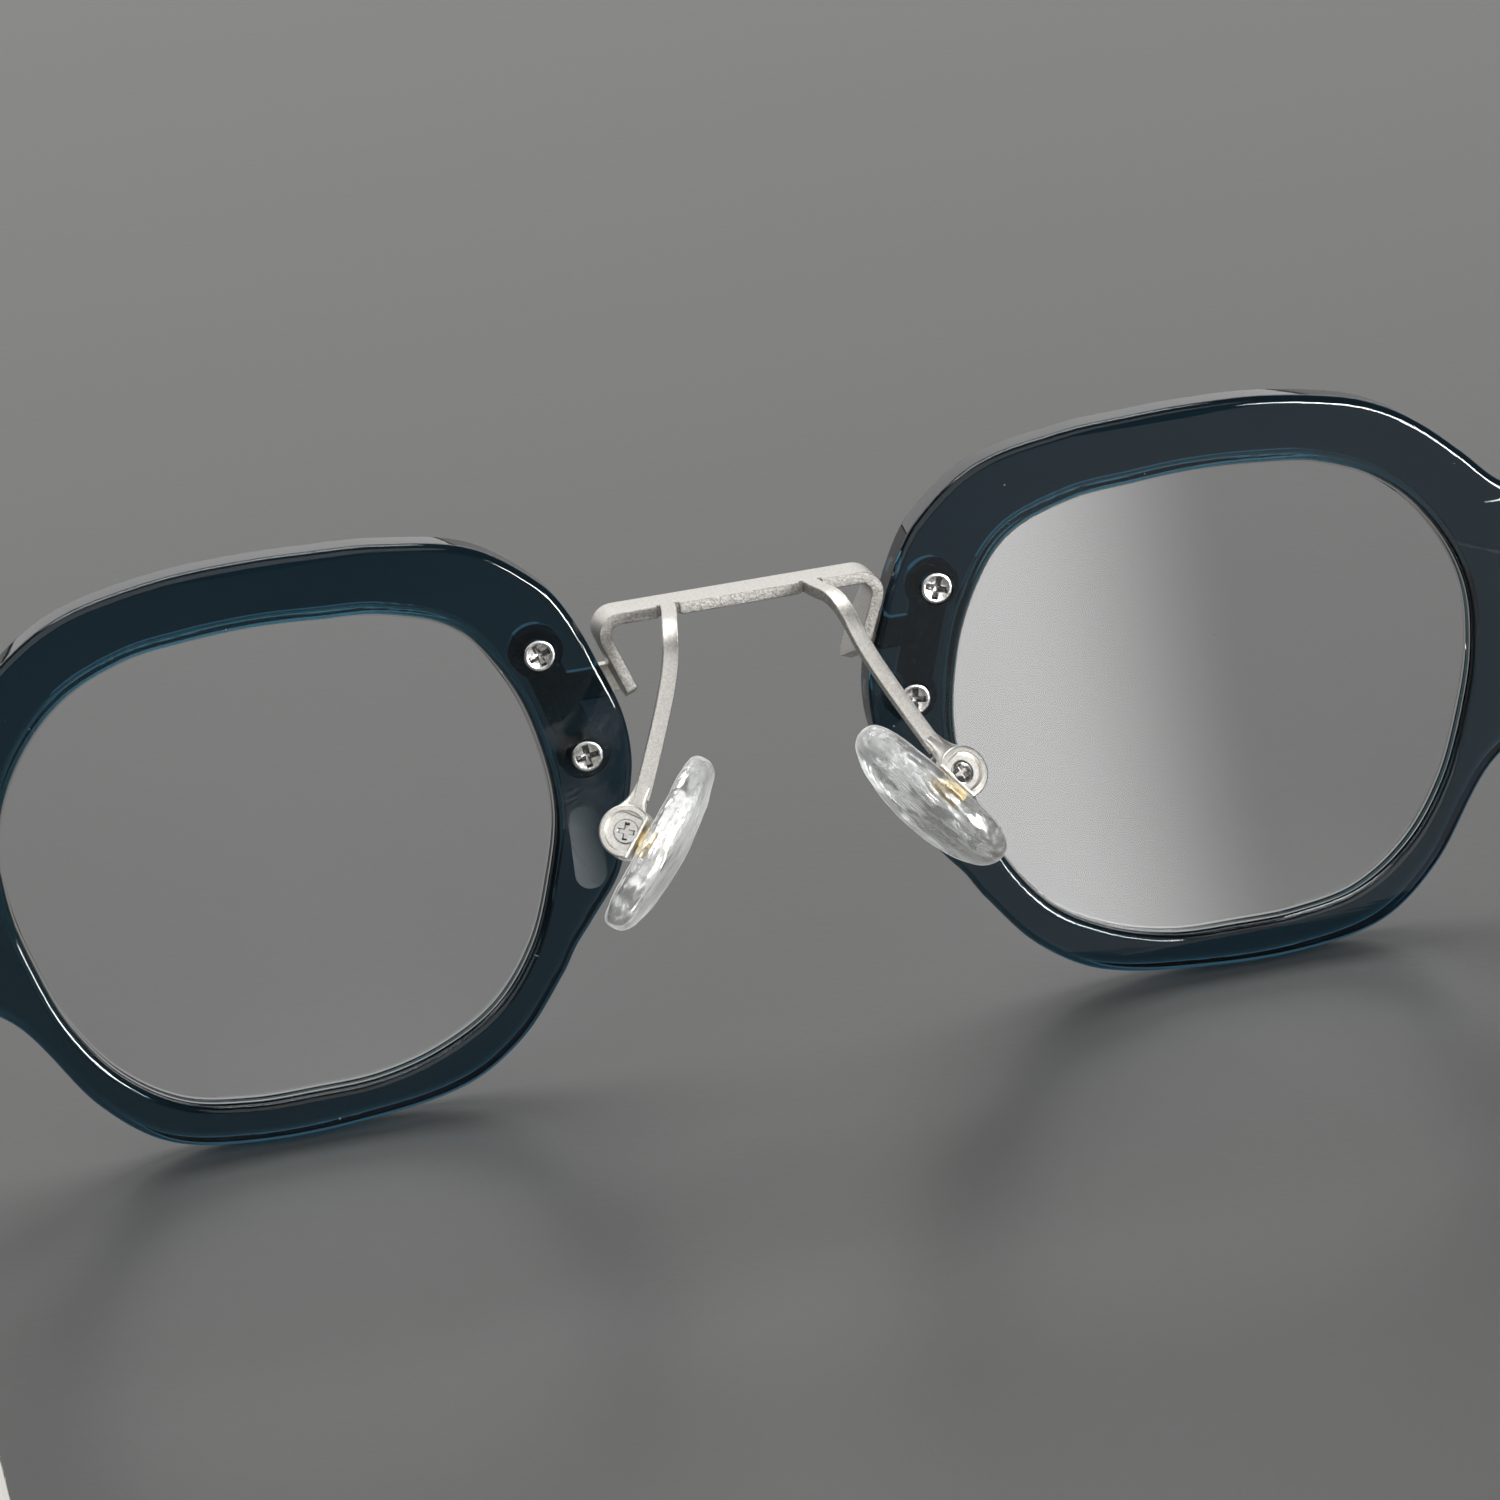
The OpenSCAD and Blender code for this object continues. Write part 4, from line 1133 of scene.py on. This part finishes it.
def pad_mesh():
    """A pad with a hollow nose side, a rounded rim and a slight waviness."""
    outline = pad_outline()
    ease = 0.75
    nose_r, arm_r = 25.0, 60.0
    nose, arm = -PAD_GAP - PAD_T, -PAD_GAP - 0.22

    def faced(points, radius, depth):
        far = np.sum(points**2, axis=1)
        bend = radius - np.sqrt(radius**2 - far)
        return np.column_stack([bend + depth, points])

    turn = np.linspace(0, pi / 2, 7)
    shares = np.linspace(0.05, 1, 12)
    inset = grown(outline, -ease)
    rings = [faced(inset * s, nose_r, nose) for s in shares]
    for a in turn[1:]:
        ring = faced(grown(outline, -ease * (1 - sin(a))), nose_r, nose)
        ring[:, 0] += ease * (1 - cos(a))
        rings.append(ring)
    for a in turn:
        ring = faced(grown(outline, -ease * (1 - cos(a))), arm_r, arm)
        ring[:, 0] -= ease * (1 - sin(a))
        rings.append(ring)
    rings += [faced(inset * s, arm_r, arm) for s in shares[-2::-1]]
    wavy = []
    for x, y, z in np.concatenate(rings):
        at = Vector((x * 0.5, y * 0.75, z * 0.45))
        ripple = 0.07 * noise.noise(at * 1.3) + 0.04 * noise.noise(at * 3.1)
        wavy.append((x + ripple, PAD_MID[0] + y + 0.6 * ripple, PAD_MID[1] + z - 0.6 * ripple))
    count = len(outline)
    rings = [wavy[i : i + count] for i in range(0, len(wavy), count)]
    return set_in_pad(ring_body("pad", rings, [(nose, *PAD_MID), (arm, *PAD_MID)]))


def set_in_pad(mesh):
    """Keeps each point's place in the pad, in millimetres from its middle, and moves it there."""
    place = mesh.attributes.new("pad_place", "FLOAT_VECTOR", "POINT")
    middle = Vector((-PAD_GAP - PAD_T / 2, *PAD_MID))
    place.data.foreach_set("vector", [c for v in mesh.vertices for c in v.co - middle])
    mesh.transform(PAD_FRAME)
    return mesh


def core_mesh():
    """The clear plate that is moulded into a pad and carries its tongue."""
    angles = np.linspace(0, 2 * pi, 56, endpoint=False)
    half_w, half_l, half_t = CORE_HALF
    wide, tall = half_w * squared(np.cos(angles), 0.8), half_l * squared(np.sin(angles), 0.8)
    outline = clockwise(np.stack([wide + PAD_MID[0], tall + PAD_MID[1]], 1))
    middle = -PAD_GAP - PAD_T * 0.55
    wall = edge_profile(middle - half_t, middle + half_t, 0.16, 0.16, -1, 4)
    mesh = slab("core", [(outline, wall)])
    mesh.transform(SIDE_VIEW)
    return set_in_pad(mesh)


def tongue_mesh():
    """The plated tongue that turns on the bracket's screw, with its collar at the pad's back."""
    half, middle, (flare, rise) = TONGUE_HALF, BOX_L / 2, COLLAR_HALF
    neck, foot = -BOX_FLAT - 0.22, -PAD_GAP - 0.6
    head = [tuple(p) for p in circle(EYE_R, 48) if p[0] > -0.5]
    loop = clockwise(head + [(foot, -0.8), (foot, 0.8)])
    wall = edge_profile(middle - half, middle + half, 0.07, 0.07, -1, 3)
    bore = [(0, middle + half), (0, middle - half)]
    tongue = slab("tongue", [(loop, wall), (circle(BORE_R, 32), bore)])
    corners = ((foot, -flare, 0.1), (foot, flare, 0.1), (neck, flare, 0.2), (neck, -flare, 0.2))
    wall = edge_profile(middle - rise, middle + rise, 0.1, 0.1, -1, 3)
    collar = slab("collar", [(clockwise(rounded_loop(corners, 0.3)), wall)])
    mesh = merged("tongue", [(tongue, SAME), (collar, SAME)])
    mesh.transform(PAD_FRAME @ FRONT_VIEW)
    return mesh


class EYEWEAR_OT_nose_pads(bpy.types.Operator):
    """Clear silicone nose pads, and the plated inserts that turn in the brackets"""

    bl_idname = "eyewear.nose_pads"
    bl_label = "Nose Pads"

    def execute(self, context):
        drawn = (
            ("silicone_pad", pad_mesh(), "nose_pad", "clear_silicone", 60),
            ("pad_core", core_mesh(), "pad_insert", "clear_silicone", 60),
            ("pad_tongue", tongue_mesh(), "pad_insert", "gold_insert", 33),
        )
        for name, side in SIDES.items():
            for piece, mesh, node, slot, angle in drawn:
                own = f"{piece}_{name}", side, f"pad_{name}", f"{node}_{name}"
                settle(mesh, *own, slot, angle, weighted=False)
        return {"FINISHED"}


# Metal fittings and temples
FITTINGS = (
    ("bridge_plate", "front_plate", "front", "polished_titanium", 0.00007),
    ("end_piece", "end_plate", "front", "satin_titanium", 0.00015),
    ("front_hinge", "hinge_leaf", "front", "polished_titanium", 0.0001),
    ("hinge_screw", "hinge_pin", "front", "screw_steel", 0.00008),
    ("temple_hinge", "temple_leaf", "temple_arm", "polished_titanium", 0.0001),
    ("temple", "temple_blade", "temple_arm", "polished_titanium", 0.00022),
)


class EYEWEAR_OT_fittings(bpy.types.Operator):
    """Plates let into the rims, end pieces, hinges and the temples' metal blades"""

    bl_idname = "eyewear.fittings"
    bl_label = "Metal Fittings and Temples"

    def execute(self, context):
        for node, name, body, slot, ease in FITTINGS:
            for side in SIDES:
                own = body if body == "front" else f"{body}_{side}"
                eased_copy(f"{node}_{side}", f"{name}_{side}", own, slot, ease)
        return {"FINISHED"}


# The temple's side view, as the solids have it: y backwards is negative
SLOPE, DROP_BEND = radians(8), radians(33)
EAR_R, DROP_L, TIP_BEFORE, BEND_AT = 26.0, 42.0, 2.0, 98.0
BLADE_T, TIP_T, TIP_MOUTH_H, TIP_END_H, TIP_EASE = 1.1, 2.8, 4.0, 5.8, 1.05


def tip_line():
    """Middle line of an acetate tip from its mouth, round the ear to its end."""
    ear = np.array((-HINGE_BACK - BEND_AT * cos(SLOPE), HINGE_Z - BEND_AT * sin(SLOPE)))
    ahead = np.array((-cos(SLOPE), -sin(SLOPE)))
    down = np.array((-cos(SLOPE + DROP_BEND), -sin(SLOPE + DROP_BEND)))
    reach = EAR_R * tan(DROP_BEND / 2)
    mouth = ear - (reach + TIP_BEFORE) * ahead
    start = ear - reach * ahead
    centre = start + EAR_R * np.array((-ahead[1], ahead[0]))
    spoke = start - centre
    line = [mouth, (mouth + start) / 2]
    line += [centre + turned_by(DROP_BEND * k / 12, spoke) for k in range(13)]
    end = ear + DROP_L * down
    bend_end = line[-1]
    line += [bend_end + (end - bend_end) * k / 10 for k in range(1, 11)]
    return np.array(line)


def tip_mesh():
    """A tip that grows towards its round end, swept along its middle line."""
    line = tip_line()
    far = np.linalg.norm(line - line[0], axis=1)
    half = (TIP_MOUTH_H + (TIP_END_H - TIP_MOUTH_H) * far / far[-1])[:, None] / 2
    along = np.gradient(line, axis=0)
    along[-1] = line[-1] - line[-2]
    across = leftwards(along)
    cap = [line[-1] + half[-1] * turned_by(-a, across[-1]) for a in np.linspace(0, pi, 25)[1:-1]]
    loop = np.concatenate([line + across * half, cap, (line - across * half)[::-1]])
    middle_x = EYE_X + LUG + SNUG + BLADE_T / 2
    sides = (middle_x - TIP_T / 2, middle_x + TIP_T / 2)
    wall = edge_profile(*sides, TIP_EASE, TIP_EASE, -1, 8)
    mesh = slab("tip", [(resampled(clockwise(loop), 0.9), wall)])
    mesh.transform(SIDE_VIEW)
    return mesh


def resampled(loop, spacing):
    """A closed loop cut at an even spacing."""
    steps = np.linalg.norm(np.roll(loop, -1, 0) - loop, axis=1)
    far = np.concatenate([[0], np.cumsum(steps)])
    count = int(far[-1] / spacing)
    closed = np.concatenate([loop, loop[:1]])
    at = np.linspace(0, far[-1], count, endpoint=False)
    return np.stack([np.interp(at, far, closed[:, 0]), np.interp(at, far, closed[:, 1])], 1)


class EYEWEAR_OT_tips(bpy.types.Operator):
    """Rounded acetate tips round the ends of the temples' cores"""

    bl_idname = "eyewear.tips"
    bl_label = "Temple Tips"

    def execute(self, context):
        settle_pair(tip_mesh(), "tip_sleeve", "temple_arm", "temple_tip", "teal_acetate", angle=40)
        return {"FINISHED"}


# Stage
def floor_finish(color):
    """Smooth paper with a low gloss, a fine grain and a few specks of dust."""
    finish = Finish("floor_paper")
    finish.set(Roughness=0.34, Specular_IOR_Level=0.55)
    dull, bright = ([c * share for c in color] for share in (0.98, 1.02))
    finish.drive("Base Color", finish.blend(finish.noise(14, 3), dull, bright))
    finish.bump((finish.noise(1300, 2, 0.6), 0.12, 0.0001))
    finish.specks(55, 0.012, 0.07, (0.75, 0.75, 0.73))
    return finish.material


def soft_box(name, at, aim, size, power):
    lamp = bpy.data.lights.new(name, "AREA")
    lamp.shape = "RECTANGLE"
    lamp.size, lamp.size_y = size
    lamp.energy = power
    obj = new_object(name, lamp)
    obj.location = at
    obj.rotation_euler = (Vector(aim) - Vector(at)).to_track_quat("-Z", "Y").to_euler()
    obj.visible_camera = False
    return obj


def place_camera():
    """The photograph's view: a long lens behind and above the left side."""
    right = Vector((0.96881, -0.21894, -0.11607))
    down = Vector((-0.16900, -0.24118, -0.95565))
    ahead = Vector((0.18124, 0.94546, -0.27066))
    turn = LEANING.to_3x3() @ Matrix((right, -down, -ahead)).transposed()
    cam = bpy.data.cameras.new("camera")
    cam.sensor_width = 36
    cam.lens = 144
    # The lens's axis meets the picture a few of its 1500 pixels from its middle
    cam.shift_x, cam.shift_y = -4.3 / 1500, 1.3 / 1500
    cam.clip_start, cam.clip_end = 0.01, 20
    obj = new_object("camera", cam)
    obj.rotation_mode = "QUATERNION"
    obj.rotation_quaternion = turn.to_quaternion()
    obj.location = PLACE @ Vector((-76.63, -399.50, 116.63))
    bpy.context.scene.camera = obj


# Soft boxes that light everything: where each is, what it faces and its size, in metres
BOXES = {
    "key": ((-0.1, 0.5, 0.85), (0, 0.05, 0), (0.8, 0.5)),
    "top": ((-0.5, -0.85, 1.0), (0, 0.05, 0), (2.2, 1.6)),
    "wall": ((0, 1.3, 0.46), (0, 0, 0.46), (2.4, 0.9)),
}
# A low card beside the camera: its share of power on each group of pieces, and whether it
# also shines through them
CARD = (0.44, -0.73, 0.14), (0.03, 0.07, 0.02), (0.3, 0.28)
CARDS = {
    "card": (1.0, True, ("pad_bracket", "pad_core", "pad_tongue", "rim_screws")),
    "pads": (3.1, True, ("silicone_pad",)),
    "glint": (0.3, False, ("bridge_sheet", "front_plate", "hinge_leaf", "temple_leaf")),
    "edge": (1.0, False, ("rim_body", "tip_sleeve")),
}
# Small fading panels that faces turned to the wearer mirror: place, size, where along x each
# is bright and dark, and the pieces that mirror it
PANELS = {
    "sheen": ((0.0335, 0.03, 0.0175), (0.027, 0.034), (0.033, 0.0465), ("lens_body_right",)),
    "haze": ((0, 0.045, 0.0205), (0.14, 0.04), (0.045, -0.03), ("rim_body",)),
}
# Half the floor's width, and where it ends under the far soft box
FLOOR_HALF, FLOOR_END = 3.0, 1.29


def lit_only(lamp, starts):
    """Lets a lamp light only the pieces whose names start so."""
    lit = bpy.data.collections.new(f"lit by the {lamp.name}")
    for obj in bpy.context.scene.objects:
        if obj.name.startswith(starts):
            lit.objects.link(obj)
    lamp.light_linking.receiver_collection = lit


def fade(lamp, x_bright, x_dark):
    """A lamp whose face fades sideways, from one place in metres to another."""
    lamp.use_nodes = True
    nodes, links = lamp.node_tree.nodes, lamp.node_tree.links
    place = nodes.new("ShaderNodeNewGeometry")
    split = nodes.new("ShaderNodeSeparateXYZ")
    ramp = nodes.new("ShaderNodeMapRange")
    ramp.interpolation_type = "SMOOTHSTEP"
    ramp.inputs["From Min"].default_value = x_dark
    ramp.inputs["From Max"].default_value = x_bright
    links.new(place.outputs["Position"], split.inputs[0])
    links.new(split.outputs["X"], ramp.inputs["Value"])
    links.new(ramp.outputs[0], nodes["Emission"].inputs["Strength"])


class EYEWEAR_OT_stage(bpy.types.Operator):
    """A plain floor, soft boxes, the room's light and the camera"""

    bl_idname = "eyewear.stage"
    bl_label = "Stage"

    def execute(self, context):
        look = context.scene.eyewear_stage
        mesh = bpy.data.meshes.new("floor")
        corners = [(x, y, 0) for y in (-FLOOR_HALF, FLOOR_END) for x in (-FLOOR_HALF, FLOOR_HALF)]
        mesh.from_pydata(corners, [], [(0, 1, 3, 2)])
        mesh.materials.append(floor_finish(look.floor))
        new_object("floor", mesh)
        for name, box in BOXES.items():
            soft_box(name, *box, getattr(look, name))
        for name, (share, through, starts) in CARDS.items():
            card = soft_box(name, *CARD, look.card * share)
            card.visible_diffuse = False
            card.visible_transmission = through
            lit_only(card, starts)
        for name, ((x, y, z), size, ramp, starts) in PANELS.items():
            panel = soft_box(name, (x, y, z), (x, 1, z), size, getattr(look, name))
            panel.visible_diffuse = panel.visible_transmission = False
            fade(panel.data, *ramp)
            lit_only(panel, starts)
        world = bpy.data.worlds.new("room")
        world.use_nodes = True
        background = world.node_tree.nodes["Background"]
        background.inputs["Color"].default_value = (*look.room, 1)
        context.scene.world = world
        context.scene.view_settings.view_transform = "Standard"
        cycles = context.scene.cycles
        cycles.max_bounces = 20
        cycles.transmission_bounces = cycles.transparent_max_bounces = 16
        place_camera()
        return {"FINISHED"}


class EyewearSizes(bpy.types.PropertyGroup):
    """Sizes of the edges that the dressed pieces add to the solids"""

    rim_edge: FloatProperty(
        name="Rim Edge", description="Radius of the rims' rounded edges", default=0.00055,
        min=0.0001, max=0.0009, unit="LENGTH", precision=5,
    )
    sheet_edge: FloatProperty(
        name="Sheet Edge", description="Radius of the bridge's eased edges", default=0.00008,
        min=0.00002, max=0.0002, unit="LENGTH", precision=5,
    )


class EyewearColours(bpy.types.PropertyGroup):
    """Colours of the finishes"""

    acetate: FloatVectorProperty(
        name="Acetate", description="Tint of the acetate's surface", default=(0.72, 0.9, 0.93),
        subtype="COLOR", size=3, min=0, max=1,
    )
    acetate_core: FloatVectorProperty(
        name="Acetate Core", description="Colour that light takes inside the acetate",
        default=(0.05, 0.3, 0.41), subtype="COLOR", size=3, min=0, max=1,
    )
    acetate_depth: FloatProperty(
        name="Acetate Depth", description="How fast the acetate darkens with thickness, per metre",
        default=1120, min=0, max=5000,
    )
    lens: FloatVectorProperty(
        name="Lens", description="Tint of the clear lenses", default=(0.99, 1, 0.995),
        subtype="COLOR", size=3, min=0, max=1,
    )
    titanium: FloatVectorProperty(
        name="Titanium", description="Colour of the bridge and fittings",
        default=(0.76, 0.735, 0.69), subtype="COLOR", size=3, min=0, max=1,
    )
    steel: FloatVectorProperty(
        name="Screw Steel", description="Colour of the screws", default=(0.72, 0.71, 0.69),
        subtype="COLOR", size=3, min=0, max=1,
    )
    gold: FloatVectorProperty(
        name="Gold", description="Colour of the plated pad inserts", default=(0.83, 0.66, 0.36),
        subtype="COLOR", size=3, min=0, max=1,
    )
    silicone: FloatVectorProperty(
        name="Silicone", description="Tint of the nose pads", default=(0.95, 0.965, 0.98),
        subtype="COLOR", size=3, min=0, max=1,
    )


class EyewearStage(bpy.types.PropertyGroup):
    """The floor and the lights"""

    floor: FloatVectorProperty(
        name="Floor", description="Colour of the floor", default=(0.12, 0.12, 0.116),
        subtype="COLOR", size=3, min=0, max=1,
    )
    room: FloatVectorProperty(
        name="Room", description="Light of the room", default=(0.06, 0.062, 0.062),
        subtype="COLOR", size=3, min=0, max=1,
    )
    key: FloatProperty(
        name="Key", description="Power of the soft box above the front", default=5.6, unit="POWER"
    )
    top: FloatProperty(
        name="Top", description="Power of the soft box above the camera", default=10.5, unit="POWER"
    )
    wall: FloatProperty(
        name="Wall", description="Power of the low light beyond the front", default=6, unit="POWER"
    )
    card: FloatProperty(
        name="Card", description="Power of the low card beside the camera", default=10, unit="POWER"
    )
    sheen: FloatProperty(
        name="Sheen", description="Power of the panel that the right lens mirrors",
        default=0.023, unit="POWER",
    )
    haze: FloatProperty(
        name="Haze", description="Power of the panel that the rims' faces mirror",
        default=0.008, unit="POWER",
    )


class EYEWEAR_PT_panel(bpy.types.Panel):
    """The pieces, sizes and colours in the 3D view's sidebar"""

    bl_idname = "EYEWEAR_PT_panel"
    bl_label = "Square Eyeglasses"
    bl_space_type = "VIEW_3D"
    bl_region_type = "UI"
    bl_category = "Eyewear"

    def draw(self, context):
        for maker in MAKERS:
            self.layout.operator(maker.bl_idname)
        for group in GROUPS:
            held = getattr(context.scene, group)
            box = self.layout.box()
            for prop in held.__annotations__:
                box.prop(held, prop)


MAKERS = (
    EYEWEAR_OT_rims,
    EYEWEAR_OT_lenses,
    EYEWEAR_OT_bridge,
    EYEWEAR_OT_screws,
    EYEWEAR_OT_brackets,
    EYEWEAR_OT_nose_pads,
    EYEWEAR_OT_fittings,
    EYEWEAR_OT_tips,
    EYEWEAR_OT_stage,
)
GROUPS = {
    "eyewear_sizes": EyewearSizes,
    "eyewear_colours": EyewearColours,
    "eyewear_stage": EyewearStage,
}


def register():
    for cls in (*GROUPS.values(), *MAKERS, EYEWEAR_PT_panel):
        bpy.utils.register_class(cls)
    for name, group in GROUPS.items():
        setattr(bpy.types.Scene, name, PointerProperty(type=group))


def unregister():
    for name in GROUPS:
        delattr(bpy.types.Scene, name)
    for cls in (EYEWEAR_PT_panel, *reversed(MAKERS), *reversed(GROUPS.values())):
        bpy.utils.unregister_class(cls)


def main():
    register()
    bpy.ops.eyewear.rims()
    bpy.ops.eyewear.lenses()
    bpy.ops.eyewear.bridge()
    bpy.ops.eyewear.screws()
    bpy.ops.eyewear.brackets()
    bpy.ops.eyewear.nose_pads()
    bpy.ops.eyewear.fittings()
    bpy.ops.eyewear.tips()
    bpy.ops.eyewear.stage()


if __name__ == "__main__":
    main()
